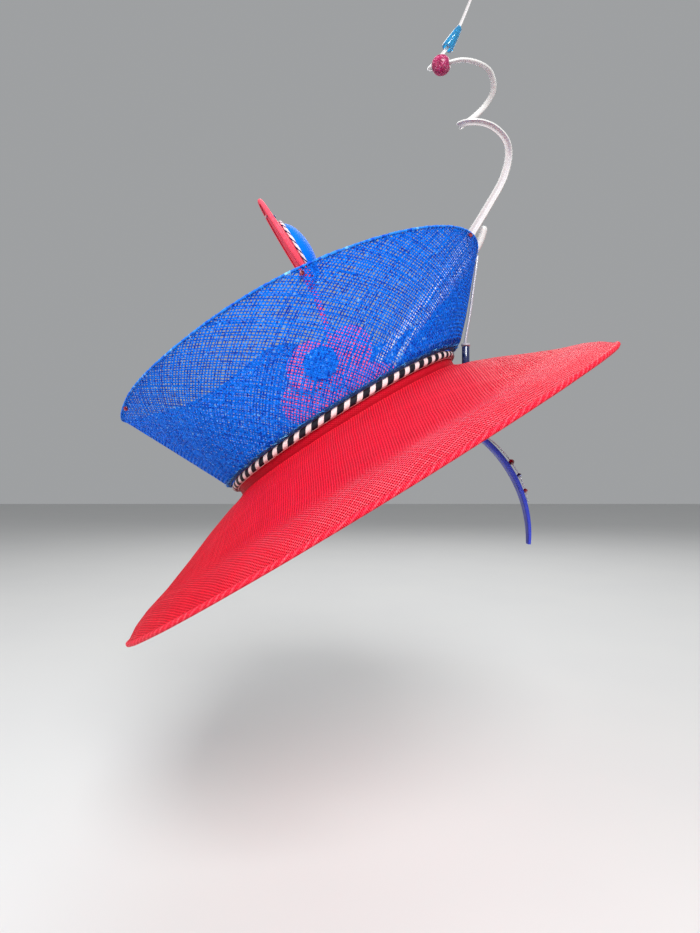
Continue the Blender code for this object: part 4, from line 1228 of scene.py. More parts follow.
@dataclass
class Brim(SubAssembly):
    """The wide brim, blocked from two layers of straw cloth, with a folded and wired hem."""

    radius: float = 186.8
    throat: float = 87.0
    shift: float = 9.0
    top_below: float = 7.0
    drop: float = 48.7
    lift_deg: float = 1.3
    wall: float = 1.2
    hem_radius: float = 1.2
    steps: int = 288
    levels: int = 58
    softer: int = 6
    rim_steps: int = 8
    crease: float = 0.675
    crease_width: float = 0.12
    unevenness: tuple[tuple[int, float], ...] = ((7, 0.3), (16, 0.22), (29, 0.18), (53, 0.1))
    hem_width: float = 1.3
    hem_cloth: float = 0.35
    hem_edge: float = 0.1
    hem_off: float = 0.02
    hem_steps: int = 22
    rows: tuple[Pair, ...] = (
        # share of the width, share of the drop
        (0.000, 0.000),
        (0.012, 0.022),
        (0.074, 0.076),
        (0.121, 0.107),
        (0.284, 0.256),
        (0.475, 0.455),
        (0.670, 0.645),
        (0.699, 0.668),
        (0.828, 0.767),
        (0.924, 0.871),
        (1.000, 1.000),
    )

    def profile(self) -> Array:
        """Draw the brim's slope, a little rounded at its corners.

        Returns:
            Evenly spaced (share of the width, share of the drop) rows.
        """
        scale = np.array([self.radius - self.throat, self.drop - self.top_below])
        path = even_points(np.array(self.rows) * scale, 4 * self.levels)
        for _ in range(self.softer):
            path[1:-1] = 0.25 * path[:-2] + 0.5 * path[1:-1] + 0.25 * path[2:]
        return path[::4] / scale

    def line(self, azimuth_deg: float) -> Array:
        """Follow the upper face at an azimuth.

        Args:
            azimuth_deg: the azimuth in the hat's frame.

        Returns:
            (radius, height) points from the collar to the rim.
        """
        azimuth = math.radians(azimuth_deg)
        inner = self.hat.collar_radius + GAP + self.wall
        aside = self.shift * math.sin(azimuth)
        rim = math.sqrt(self.radius**2 - aside**2) - self.shift * math.cos(azimuth)
        for waves, depth in self.unevenness:
            rim += depth * math.sin(waves * azimuth + depth)
        lift = rim * math.sin(azimuth) * math.tan(math.radians(self.lift_deg))
        width, fall = self.profile().T
        fall = fall * (self.drop - self.top_below - lift)
        return np.stack([inner + width * (rim - inner), -self.top_below - fall], axis=1)

    def height_at(self, radius: float, azimuth_deg: float) -> float:
        """Height of the upper face at a radius and an azimuth."""
        line = self.line(azimuth_deg)
        return float(np.interp(radius, line[:, 0], line[:, 1]))

    def build(self) -> None:
        """Make the brim's cloth and its hem."""
        azimuths = compass(self.steps)
        outlines = np.array([
            wall_outline(self.line(azimuth), -self.wall, self.hem_radius, self.rim_steps)
            for azimuth in azimuths
        ])
        outlines[..., 0] = np.maximum(outlines[..., 0], self.hat.collar_radius + GAP)
        points = polar(outlines[..., 0], azimuths[:, None], outlines[..., 1])
        shares = self.profile()[:, 0]
        levels = len(shares)
        reach = outlines[:, :1, 0] + np.array([run_along(line, False) for line in outlines])
        reach[:, -levels:] = reach[:, :levels][:, ::-1]
        reach = np.pad(reach, ((0, 1), (0, 1)), mode="wrap")
        cloth = polar(reach, np.append(azimuths, 360.0)[:, None], 0.0)[..., :2]
        outer = np.ones(points.shape[1])
        outer[:levels] = np.clip((shares - self.crease) / self.crease_width, 0.0, 1.0)
        outer[-levels:] = outer[:levels][::-1]
        skin = Skin().grid(points, cloth, True, True, tone=np.tile(outer, self.steps))
        self.put("brim_cloth", skin, ["brim"], Slot.RED, ("brim",))
        self.build_hem(azimuths, outlines, levels)

    def build_hem(self, azimuths: Array, outlines: Array, levels: int) -> None:
        """Fold a strip of cloth round the rim.

        Args:
            azimuths: where the brim's outlines stand.
            outlines: the brim's outlines.
            levels: how many points each of the brim's faces has.
        """
        rings = []
        for outline in outlines:
            run = run_along(outline[:levels], False)
            first = int(np.searchsorted(run, run[-1] - self.hem_width))
            path = even_points(outline[first : len(outline) - first], self.hem_steps)
            runs = unit(np.gradient(path, axis=0))
            out = np.stack([-runs[:, 1], runs[:, 0]], axis=1)
            swell = np.full(len(path), self.hem_cloth)
            swell[[0, -1]] = self.hem_edge
            back = path[::-1] + out[::-1] * self.hem_off
            rings.append(np.vstack([path + out * swell[:, None], back]))
        rings = np.array(rings)
        points = polar(rings[..., 0], azimuths[:, None], rings[..., 1])
        across = np.append(np.linspace(0.0, 4.0 * self.hem_width, rings.shape[1]), 0.0)
        skin = Skin().grid(points, ring_cloth(azimuths, self.radius, across), True, True)
        self.put("brim_hem", skin, ["hem"], Slot.RED)


@dataclass
class Collar(SubAssembly):
    """The upright band of the crown, the disc that closes it and the piping round it."""

    above: float = 6.0
    below: float = 10.5
    steps: int = 288
    levels: int = 14
    pull: float = 0.12
    creases: float = 23.0
    crease_slant: float = 0.5
    crease_groups: float = 5.0
    # Painted shade: below this height the band takes full painted shade, which lifts over the given rise
    # above it.
    crease_shade_below: float = -7.5
    crease_shade_rise: float = 6.0
    cord_tall: float = 1.28
    cord_sag: float = 0.4
    cord_sides: int = 20
    cord_steps: int = 420
    lip: float = 0.4
    lip_sides: int = 8
    tip_middle: float = 0.02
    tip_rings: int = 28
    tip_sides: int = 96

    def build(self) -> None:
        """Make the band, the disc and the piping."""
        self.build_band()
        self.build_tip()
        self.build_piping()

    def build_band(self) -> None:
        """The upright band, with slight creases where it was pulled round, and painted shade towards its
        foot where it meets the brim.
        """
        outer = self.hat.collar_radius
        heights = np.linspace(-self.below, self.above, self.levels)
        azimuths = compass(self.steps)
        turn = np.radians(azimuths)[:, None]
        waves = np.sin(self.creases * turn + self.crease_slant * heights)
        face = outer + self.pull * waves * np.sin(self.crease_groups * turn)
        radii = np.concatenate([face, np.full_like(face, outer - self.hat.collar_wall)], axis=1)
        levels = np.concatenate([heights, heights[::-1]])
        points = polar(radii, azimuths[:, None], levels[None])
        cloth = ring_cloth(azimuths, outer, np.append(levels, levels[0]))
        # Painted shade: the tone falls from 1 to 0 over the lowest part of the band, so the band darkens
        # where it meets the brim.
        bright = np.clip((levels - self.crease_shade_below) / self.crease_shade_rise, 0.0, 1.0)
        skin = Skin().grid(points, cloth, True, True, tone=np.tile(bright, self.steps))
        self.put("collar_band", skin, ["collar"], Slot.DARK_RED, ("collar",))

    def build_tip(self) -> None:
        """The slightly domed disc inside the collar."""
        radii = self.hat.tip_radius * np.linspace(self.tip_middle, 1.0, self.tip_rings)
        under = self.hat.tip_height(radii)
        rings = np.concatenate([radii, radii[::-1]])
        heights = np.concatenate([under, under[::-1] + self.hat.tip_wall])
        points = polar(rings[:, None], compass(self.tip_sides)[None], heights[:, None])
        skin = Skin().grid(points, flat_cloth(points), True, False, True)
        self.put("crown_disc", skin, ["disc"], Slot.RED, ("crown_tip",))

    def build_piping(self) -> None:
        """The round piping with its slanted stripes, and the pale lip that it is sewn by."""
        hat = self.hat
        middle = hat.collar_radius + GAP + hat.piping_radius
        azimuths = compass(self.cord_steps)
        turn = TURN * np.arange(self.cord_sides) / self.cord_sides + np.pi
        radii = middle + hat.piping_radius * np.cos(turn)
        tall = hat.piping_radius * self.cord_tall
        level = hat.piping_rise - self.cord_sag
        points = polar(radii[None], azimuths[:, None], (level + tall * np.sin(turn))[None])
        girth = np.append(turn, 3.0 * np.pi) * hat.piping_radius
        skin = Skin().grid(points, ring_cloth(azimuths, middle, girth), True, True)
        lip_radius = np.full(len(azimuths), hat.collar_radius + GAP + self.lip)
        edge = polar(lip_radius, azimuths, level - tall + 0.5 * self.lip)
        skin.tube(edge, self.lip, self.lip_sides, UP, True, look=1)
        finishes = ["piping", "piping lip"]
        self.put("piping_cord", skin, finishes, Slot.STRIPED, ("striped_piping",))


# The flare


@dataclass
class Flare(SubAssembly):
    """The see-through flare, woven thread by thread, with a rolled and wired rim."""

    slant: float = 82.0
    outset: float = 3.7
    foot_past: float = 0.2
    foot_bend: float = 4.0
    belly_from: float = 0.06
    belly_until: float = 0.30
    wall: float = 1.0
    threads: int = 264
    pitch: float = 1.8
    widest_pitch: float = 0.97
    thread_width: float = 0.84
    thread_thick: float = 0.26
    crimp: float = 0.17
    mean_lean_deg: float = 31.0
    width_spread: float = 0.11
    slub: float = 0.1
    sway: float = 0.14
    sways: int = 6
    thread_tone: Pair = (0.44, 0.07)
    tone_limits: Pair = (0.2, 0.7)
    crossing_light_and_shade: float = 0.6
    speckle: float = 0.15
    # Painted highlight: two bands of warp threads, given by their starting azimuths, carry light tones as
    # streaks of reflected light, fading towards the rim.
    painted_gloss_bands: tuple[Pair, ...] = ((-71.5, -69.0), (-66.0, -63.5))
    painted_gloss_level: Pair = (0.04, 0.66)
    painted_gloss_tone: float = 0.86
    painted_gloss_fade: float = 0.3
    rim_radius: float = 0.72
    rim_spread: float = 0.13
    rim_step_deg: float = 0.75
    rim_sides: int = 10
    rim_tone: Pair = (0.42, 0.22)
    stitch_radius: float = 0.16
    stitch_step_deg: float = 1.45
    stitch_astray_deg: float = 0.3
    stitch_tone: Pair = (0.5, 0.18)
    stitch_deg: tuple[float, ...] = (0.0, 0.15, 0.3, 0.45, 0.6, 0.45, 0.3)
    stitch_down: tuple[float, ...] = (2.2, 1.0, 0.0, -0.85, 0.0, 1.0, 2.2)
    stitch_off: tuple[float, ...] = (0.3, 0.7, 0.9, 0.0, -0.9, -0.7, -0.3)
    edge_height: float = 1.9
    edge_off: tuple[float, float, float] = (0.12, 0.55, 0.3)
    edge_step_deg: float = 1.0
    edge_rows: int = 7
    edge_ragged: float = 0.3
    edge_cloth: float = 12.0
    fine_sides: int = 4
    fray_radius: float = 0.17
    fray_taper: float = 0.5
    fray_steps: int = 5
    fray_step_deg: float = 0.8
    fray_astray_deg: float = 0.5
    fray_reach: Pair = (0.7, 1.9)
    fray_start: Pair = (0.7, 2.2)
    fray_bow: Pair = (0.1, 0.9)
    fray_off: float = 0.5
    fray_rise: float = 0.75
    fray_bend: float = 0.6
    fray_tone: Pair = (2.2, 1.1)
    mm_per_degree: float = 1.6
    rows: tuple[tuple[float, float, float, float], ...] = (
        # azimuth_deg, slant, lean_deg, belly
        (-180.0, 1.075, 23.5, 0.000),
        (-165.0, 1.058, 27.2, 0.000),
        (-150.0, 1.045, 26.2, 0.000),
        (-120.0, 1.023, 29.5, 0.000),
        (-90.0, 1.012, 32.2, 0.000),
        (-60.0, 0.972, 36.0, 0.008),
        (-30.0, 0.938, 41.3, 0.028),
        (0.0, 0.906, 44.6, 0.044),
        (25.0, 0.888, 46.9, 0.044),
        (48.0, 0.879, 46.0, 0.034),
        (65.0, 0.885, 38.2, 0.016),
        (78.0, 0.998, 26.2, 0.000),
        (88.0, 1.202, 16.9, 0.000),
        (98.0, 1.289, 13.8, 0.000),
        (110.0, 1.255, 14.8, 0.000),
        (130.0, 1.161, 17.2, 0.000),
        (150.0, 1.115, 18.8, 0.000),
        (165.0, 1.095, 20.2, 0.000),
    )

    def read(self, column: int, azimuth_deg: Array) -> Array:
        """A column of the table at an azimuth."""
        return cyclic_value(np.array(self.rows), column, azimuth_deg)

    def lean(self, azimuth_deg: Array) -> Array:
        """How far the wall leans out at an azimuth, in radians."""
        return np.radians(self.read(2, azimuth_deg))

    def point(self, azimuth_deg: Array, share: Array) -> Array:
        """Set points on the outer face.

        Args:
            azimuth_deg: azimuths in the hat's frame.
            share: shares of the slant, from the foot.

        Returns:
            The points.
        """
        hat = self.hat
        lean = self.lean(azimuth_deg)
        foot_height = hat.piping_rise + hat.piping_radius + GAP
        foot_radius = hat.collar_radius + GAP + hat.piping_radius + self.foot_past + self.wall
        cone_radius = hat.collar_radius + self.outset
        along = foot_height / np.cos(lean)
        along = along + share * (self.slant * self.read(1, azimuth_deg) - along)
        height = along * np.cos(lean)
        pull = np.maximum(0.0, 1.0 - (height - foot_height) / self.foot_bend) ** 2
        error = foot_radius - cone_radius - foot_height * np.tan(lean)
        rise = np.minimum(1.0, share / self.belly_from)
        fall = 1.0 - np.maximum(0.0, share - self.belly_until) / (1.0 - self.belly_until)
        belly = self.slant * self.read(3, azimuth_deg) * rise * fall
        radius = cone_radius + along * np.sin(lean) + error * pull + belly
        return polar(radius, azimuth_deg, height)

    def outward(self, azimuth_deg: Array) -> Array:
        """The direction straight out of the wall."""
        lean = self.lean(azimuth_deg)
        return polar(np.cos(lean), azimuth_deg, -np.sin(lean))

    def build(self) -> None:
        """Weave the flare and finish its rim and foot."""
        warp, weft = (self.weave(way) for way in (Direction.WARP, Direction.WEFT))
        self.put("flare_warp", warp, ["thread"], Slot.BLUE, ("blue_flare",), 80.0)
        self.put("flare_weft", weft, ["thread"], Slot.BLUE, (), 80.0)
        self.build_rim()
        self.build_stitches()
        self.build_foot()
        self.build_fray()

    def crossings(self) -> Array:
        """Where a thread meets the threads that cross it.

        The cloth is cut on the bias and stretched more and more towards the rim, so its
        square mesh turns into flat diamonds there while the threads keep their spacing.

        Returns:
            The shares of the slant at the crossings, from the foot.
        """
        share = np.linspace(0.0, 1.0, 400)
        reach = self.slant * math.sin(math.radians(self.mean_lean_deg))
        radius = self.hat.collar_radius + self.outset + share * reach
        step = TURN / self.threads
        along = np.minimum(radius * step / (2.0 * self.pitch), self.widest_pitch)
        slope = along / np.sqrt(1.0 - along**2) / radius
        turn = np.concatenate([[0.0], np.cumsum(0.5 * (slope[1:] + slope[:-1]))])
        turn *= self.slant / (len(share) - 1)
        count = int(turn[-1] / (0.5 * step))
        return np.interp(0.5 * step * np.arange(count + 1), turn, share)

    def weave(self, way: Direction) -> Skin:
        """Lay all the threads of one direction.

        Args:
            way: which of the two directions.

        Returns:
            The threads.
        """
        skin = Skin()
        dice = self.shop.dice
        level = np.append(self.crossings(), 1.0)
        count = len(level)
        step = 360.0 / self.threads
        index = np.arange(count)
        index_deg = 0.5 * step * index.astype(float)
        index_deg[-1] = index_deg[-2] + 0.25 * step
        lift = way.value * self.crimp * (1.0 - 2.0 * (index % 2))
        lift[[0, -1]] = 0.0
        # Where the painted highlight bands lie on the slant, and their tone, which fades upwards.
        low, high = self.painted_gloss_level
        inside = (level[1:] > low) & (level[1:] < high)
        fading = self.painted_gloss_tone - self.painted_gloss_fade * (level[1:] - low) / (high - low)
        for line in range(self.threads):
            width = self.thread_width * (1.0 + self.width_spread * dice.standard_normal())
            tone = float(np.clip(dice.normal(*self.thread_tone), *self.tone_limits))
            sway = self.sway * step * dice.standard_normal(self.sways)
            start = -180.0 + step * line
            azimuth = start + way.value * index_deg
            azimuth = azimuth + np.interp(index, np.linspace(0, count - 1, self.sways), sway)
            outward = self.outward(azimuth)
            centre = self.point(azimuth, level) + outward * (lift - 0.5 * self.wall)[:, None]
            across = unit(np.cross(np.gradient(centre, axis=0), outward))
            slub = 1.0 + self.slub * dice.standard_normal(count)
            side = across * (0.5 * width * slub)[:, None]
            thick = outward * (0.5 * self.thread_thick)
            corners = (side + thick, thick - side, -side - thick, side - thick)
            ring = np.stack([centre + corner for corner in corners], axis=1)
            girth = np.array([0.0, 1.0, 1.25, 2.25, 2.5]) + 3.0 * line
            cloth = np.stack(np.meshgrid(girth, index * self.pitch), axis=-1)
            # Painted light and shade: stretches that pass over a crossing get a lighter tone, and those
            # that pass under one get a darker tone.
            raised = lift[:-1] + lift[1:]
            shades = tone + self.crossing_light_and_shade * raised
            shades = shades + self.speckle * dice.standard_normal(count - 1)
            # Painted highlight on the warp threads that start in one of the bands.
            if way is Direction.WARP and any(near < start < far for near, far in self.painted_gloss_bands):
                shades = np.where(inside, fading + 0.5 * (shades - tone), shades)
            skin.grid(ring, cloth, True, False, True, np.clip(shades, 0.0, 1.0))
        return skin

    def build_rim(self) -> None:
        """The rolled rim over its wire."""
        dice = self.shop.dice
        azimuths = np.arange(0.0, 360.0, self.rim_step_deg)
        count = len(azimuths)
        out = self.outward(azimuths)
        line = self.point(azimuths, np.ones(count)) - out * 0.5 * self.wall
        radii = self.rim_radius * (1.0 + self.rim_spread * dice.standard_normal(count))
        tones = np.clip(dice.normal(*self.rim_tone, count), 0.0, 1.0)
        skin = Skin().tube(line, radii, self.rim_sides, out[0], True, tones)
        self.put("flare_rim", skin, ["rim"], Slot.BLUE, (), 80.0)

    def build_stitches(self) -> None:
        """The stitches that hold the rim."""
        dice = self.shop.dice
        skin = Skin()
        share = 1.0 - np.array(self.stitch_down) / self.slant
        off = np.array(self.stitch_off) - 0.5 * self.wall
        for azimuth in np.arange(0.0, 360.0, self.stitch_step_deg):
            azimuth += self.stitch_astray_deg * dice.standard_normal()
            places = azimuth + np.array(self.stitch_deg)
            path = self.point(places, share) + self.outward(places) * off[:, None]
            tone = float(np.clip(dice.normal(*self.stitch_tone), 0.0, 1.0))
            skin.tube(path, self.stitch_radius, self.fine_sides, self.outward(azimuth), tone=tone)
        self.put("rim_stitches", skin, ["rim"], Slot.BLUE, (), 80.0)

    def build_foot(self) -> None:
        """The folded edge above the piping."""
        azimuths = np.arange(0.0, 360.0, self.edge_step_deg)
        length = self.slant * self.read(1, azimuths)
        shares = np.linspace(0.0, self.edge_height, self.edge_rows)[None] / length[:, None]
        grid = np.broadcast_to(azimuths[:, None], shares.shape)
        face = self.point(grid, shares)
        out = self.outward(grid)
        ragged = self.edge_ragged * self.shop.dice.standard_normal(len(azimuths))
        face[:, -1] = self.point(azimuths, shares[:, -1] + ragged / self.slant)
        inner_off, outer_off, top_off = self.edge_off
        outer = face + out * outer_off
        outer[:, -1] = face[:, -1] + out[:, -1] * top_off
        points = np.concatenate([outer, (face + out * inner_off)[:, ::-1]], axis=1)
        across = np.linspace(0.0, self.edge_cloth, points.shape[1] + 1)
        cloth = ring_cloth(azimuths, self.hat.collar_radius, across)
        skin = Skin().grid(points, cloth, True, True)
        self.put("flare_foot_edge", skin, ["foot"], Slot.BLUE)

    def build_fray(self) -> None:
        """The frayed threads at the foot."""
        dice = self.shop.dice
        skin = Skin()
        steps = np.linspace(0.0, 1.0, self.fray_steps)
        radii = self.fray_radius * (1.0 - self.fray_taper * steps)
        for azimuth in np.arange(0.0, 360.0, self.fray_step_deg):
            azimuth += self.fray_astray_deg * dice.standard_normal()
            reach = dice.uniform(*self.fray_reach)
            lean = dice.normal()
            start = dice.uniform(*self.fray_start)
            places = azimuth + lean * steps * reach / self.mm_per_degree
            share = (start + reach * steps * self.fray_rise) / self.slant
            bow = np.sin(np.pi * self.fray_bend * steps)
            off = self.fray_off + dice.uniform(*self.fray_bow) * bow
            path = self.point(places, share) + self.outward(places) * off[:, None]
            tone = float(dice.beta(*self.fray_tone))
            skin.tube(path, radii, self.fine_sides, self.outward(azimuth), tone=tone)
        self.put("frayed_threads", skin, ["fray"], Slot.BLUE, (), 80.0)


# The flower, its stem and the small hat


@dataclass(frozen=True)
class Petal:
    """One petal's row: where it points and how big it is."""

    node: str
    direction_deg: float
    length: float
    width: float
    sweep_deg: float
    layer: int


@dataclass
class Flower(SubAssembly):
    """The flower in the flare, with its knot and the stem that carries the small hat."""

    across: float = 12.0
    forward: float = 23.0
    length: float = 48.0
    width: float = 34.0
    wall: float = 0.9
    root_width: float = 5.0
    cup: float = 3.0
    curl: float = 1.0
    pleat: float = 0.35
    pleats: float = 9.0
    pleat_fade: float = 1.5
    petal_rows: int = 33
    petal_columns: int = 25
    edge_power: int = 12
    edge_thin: float = 0.5
    layer: float = 2.4
    end_share: float = 0.012
    power: float = 0.9
    knot_radius: float = 5.5
    knot_thick: float = 9.0
    knot_cord: float = 0.9
    knot_turns: float = 5.0
    knot_steps: int = 220
    knot_sides: int = 8
    knot_flat: float = 1.25
    knot_hole: float = 0.08
    button_hole: float = 0.03
    button_rings: int = 13
    button_sides: int = 24
    stem_steps: int = 420
    stem_sides: int = 14
    stem_wrap_depth: float = 0.1
    stem_radius: float = 1.8
    stem_top_radius: float = 2.4
    stem_wrap: float = 5.0
    stem_rows: tuple[Point, ...] = (
        # across, forward, rise as shares of the way from the knot to the small brim
        (0.00, 0.00, 0.00),
        (0.10, 0.60, 0.10),
        (0.34, 1.05, 0.26),
        (0.56, 1.15, 0.42),
        (0.80, 1.08, 0.70),
        (1.00, 1.00, 1.00),
    )
    petals: tuple[Petal, ...] = (
        Petal("petal_upper_right", 38.0, 1.00, 1.00, 8.0, 0),
        Petal("petal_left", 178.0, 0.98, 1.00, 8.0, 0),
        Petal("petal_upper_left", 116.0, 0.84, 1.18, 4.0, 1),
        Petal("petal_bottom", 270.0, 0.59, 1.05, 4.0, 1),
        Petal("petal_right", 336.0, 0.98, 0.62, 0.0, 2),
        Petal("petal_blue", 98.0, 0.62, 0.78, 0.0, 2),
    )

    def height(self) -> float:
        """Height of the flower's middle in the hat's frame."""
        bottom = next(petal for petal in self.petals if petal.node == "petal_bottom")
        return self.hat.floor(self.across, self.forward) + GAP + self.length * bottom.length

    def upright(self, points: Array) -> Array:
        """Carry points of the flower's flat frame to the hat's frame."""
        x, y, z = np.moveaxis(points, -1, 0)
        return spread(x, -z, y) + np.array([self.across, self.forward, self.height()])

    def build(self, top: Array) -> None:
        """Make the petals, the knot and the stem.

        Args:
            top: where the stem ends, in the hat's frame.
        """
        for petal in self.petals:
            self.build_petal(petal)
        self.build_knot()
        self.build_stem(top)

    def build_petal(self, petal: Petal) -> None:
        """One petal of straw cloth, gathered at its root, thinner towards its edge.

        Args:
            petal: its row.
        """
        root = self.knot_radius + GAP
        width = self.width * petal.width
        step = np.linspace(0.0, 1.0, self.petal_rows)
        along = (0.5 - (0.5 - self.end_share) * np.cos(np.pi * step))[:, None]
        across = np.linspace(-1.0, 1.0, self.petal_columns)[None]
        lobe = np.sqrt(np.maximum(0.0, 1.0 - (2.0 * along - 1.0) ** 2))
        half = 0.5 * width * np.maximum(
            lobe**self.power, self.root_width / width * (1.0 - along)
        )
        reach = root + along * (self.length * petal.length - self.knot_radius - GAP)
        front = self.cup * (reach / self.length) ** 2 + self.curl * lobe * across**2
        pleat = self.pleat * np.sin(across * self.pleats) * (1.0 - along) ** self.pleat_fade
        middle = spread(reach, across * half, -front + pleat)
        edge = np.maximum(np.abs(across), np.abs(2.0 * along - 1.0)) ** self.edge_power
        thick = (0.5 * self.wall * (1.0 - self.edge_thin * edge))[..., None]
        sheets = np.concatenate([middle + UP * thick, (middle - UP * thick)[:, ::-1]], 1)
        x, y, z = np.moveaxis(sheets, -1, 0)
        z, x = turned(math.radians(petal.sweep_deg), z, x)
        x, y = turned(math.radians(petal.direction_deg), x, y)
        points = self.upright(spread(x, y, z + petal.layer * self.layer))
        skin = Skin().grid(points, flat_cloth(sheets), True, False, True)
        blue = petal.node.endswith("blue")
        finish = "blue cloth" if blue else "petal"
        slot = Slot.BLUE if blue else Slot.RED
        self.put(f"{petal.node}_cloth", skin, [finish], slot, (petal.node,), 50.0)

    def build_knot(self) -> None:
        """The button that the petals are sewn on, wrapped with a thin cord."""
        cord = self.knot_cord
        radius, half = self.knot_radius - cord, 0.5 * self.knot_thick - cord
        share = np.linspace(0.0, 1.0, self.knot_steps)
        angle = TURN * self.knot_turns * share
        fall = np.pi * (self.knot_hole + (1.0 - 2.0 * self.knot_hole) * share)
        reach = radius * np.minimum(1.0, np.sin(fall) * self.knot_flat)
        level = half * np.cos(fall) + 0.5 * self.layer
        curve = np.stack([reach * np.cos(angle), reach * np.sin(angle), level], axis=1)
        skin = Skin().tube(self.upright(curve), cord, self.knot_sides, UP)
        hole = self.button_hole
        rings = np.pi * np.linspace(hole, 1.0 - hole, self.button_rings)
        heights = half * np.cos(rings) + 0.5 * self.layer
        around = compass(self.button_sides)[None]
        points = polar((np.sin(rings) * radius)[:, None], around, heights[:, None])
        skin.grid(self.upright(points), flat_cloth(points), True, False, True)
        self.put("flower_button", skin, ["petal"], Slot.RED, ("flower_knot",))

    def build_stem(self, top: Array) -> None:
        """The wired stem, wrapped with a narrow strip of straw cloth.

        Args:
            top: where it ends.
        """
        front = 0.5 * self.knot_thick - 0.5 * self.layer + GAP + self.stem_radius
        start = np.array([self.across, self.forward + front, self.height()])
        curve = smooth_curve(start + np.array(self.stem_rows) * (top - start), self.stem_steps)
        share = np.linspace(0.0, 1.0, len(curve))
        radii = self.stem_radius + (self.stem_top_radius - self.stem_radius) * share
        wrap = (run_along(curve, False) / self.stem_wrap) % 1.0
        radii = radii * (1.0 - self.stem_wrap_depth * (1.0 - wrap))
        skin = Skin().tube(curve, radii, self.stem_sides, SIDEWAYS)
        self.put("flower_stem_wrap", skin, ["stem"], Slot.RED, ("flower_stem",), 30.0)


@dataclass
class SmallHat(SubAssembly):
    """The small hat at the top of the stem, seen edge-on from behind."""

    across: float = 34.5
    forward: float = 32.5
    height: float = 143.0
    brim_radius: float = 39.5
    sink: float = 3.4
    wall: float = 1.3
    hem_radius: float = 1.65
    crown_radius: float = 25.0
    crown_shift: float = 9.5
    crown_height: float = 12.0
    crown_top_deg: float = 88.0
    piping_radius: float = 1.2
    turn_deg: float = -2.2
    brim_rows: int = 15
    brim_sides: int = 96
    hem_steps: int = 10
    hem_wrap: float = 0.75
    cord_sides: int = 12
    cord_steps: int = 160
    crown_rows: int = 16
    crown_sides: int = 72
    stem_clear: float = 1.0

    def placed(self, points: Array) -> Array:
        """Carry points of the small hat's own frame to the hat's frame.

        Args:
            points: an array whose last axis is (x, y, z).

        Returns:
            The same points in the hat's frame.
        """
        x, y, z = np.moveaxis(points, -1, 0)
        z, x = turned(math.radians(-self.turn_deg), z, x)
        return spread(z, -x, -y) + np.array([self.across, self.forward, self.height])

    def stem_top(self) -> Array:
        """Where the stem ends, in the hat's frame."""
        below = self.brim_radius + self.stem_clear
        return np.array([self.across, self.forward, self.height - below])

    @staticmethod
    def rounds(radii: Array, shifts: Array, levels: Array, steps: int) -> Array:
        """Rings in the small hat's own frame, one to a row."""
        ring = circle(steps)
        return spread(radii[:, None] * ring[:, 0], radii[:, None] * ring[:, 1] + shifts, levels[:, None])

    def build(self) -> None:
        """Make the small brim, its piping and its crown."""
        flat = self.crown_radius + 2.0 * self.piping_radius + GAP
        share = np.linspace(0.0, 1.0, self.brim_rows)
        radii = flat + (self.brim_radius - self.hem_radius - flat) * share
        shifts = self.crown_shift * (1.0 - share)
        levels = self.sink * (1.0 - share)
        rise = 0.5 * self.wall * share
        turns = np.linspace(self.hem_wrap * np.pi, -self.hem_wrap * np.pi, self.hem_steps + 1)
        upper = np.stack([radii, shifts, levels + rise], axis=1)
        under = np.stack([radii, shifts, levels - self.wall + rise], axis=1)
        hem_radii = self.brim_radius - self.hem_radius * (1.0 - np.cos(turns))
        hem = np.stack([hem_radii, 0.0 * turns, self.hem_radius * np.sin(turns)], axis=1)
        rows = np.vstack([upper, hem, under[::-1]])
        points = self.rounds(rows[:, 0], rows[:, 1:2], rows[:, 2], self.brim_sides)
        skin = Skin().grid(self.placed(points), flat_cloth(points), True, False, True)
        self.put("small_brim_cloth", skin, ["small brim"], Slot.RED, ("mini_brim",), 50.0)
        self.build_piping()
        self.build_crown()

    def build_piping(self) -> None:
        """The thin striped piping round the small crown."""
        middle = self.crown_radius + GAP + self.piping_radius
        level = self.sink + GAP + self.piping_radius
        girth = np.radians(compass(self.cord_sides))
        radii = middle + self.piping_radius * np.cos(girth)
        levels = level + self.piping_radius * np.sin(girth)
        points = np.swapaxes(self.rounds(radii, self.crown_shift, levels, self.cord_steps), 0, 1)
        across = np.append(girth, TURN) * self.piping_radius
        cloth = ring_cloth(compass(self.cord_steps), middle, across)
        skin = Skin().grid(self.placed(points), cloth, True, True)
        self.put("small_piping_cord", skin, ["small piping"], Slot.STRIPED, ("mini_piping",))

    def build_crown(self) -> None:
        """The small domed crown."""
        turn = np.radians(np.linspace(0.0, self.crown_top_deg, self.crown_rows))
        outer, inner = (
            np.stack([
                (self.crown_radius - wall) * np.cos(turn), (self.crown_height - wall) * np.sin(turn)
            ], axis=1)
            for wall in (0.0, self.wall)
        )
        rows = np.vstack([outer[::-1], inner])
        levels = rows[:, 1] + self.sink + GAP
        points = self.rounds(rows[:, 0], self.crown_shift, levels, self.crown_sides)
        skin = Skin().grid(self.placed(points), flat_cloth(points), True, False, True)
        self.put("small_crown_cloth", skin, ["small crown"], Slot.BLUE, ("mini_crown",), 50.0)


# Quills, beads and the rod


@dataclass(frozen=True)
class BeadAxis:
    """A bead's middle and directions on the quill."""

    middle: Array
    along: Array
    side: Array
    up: Array
    index: int

    def ring(self, sides: int) -> Array:
        """Directions all round the bead."""
        return spokes(circle(sides), self.side, self.up)


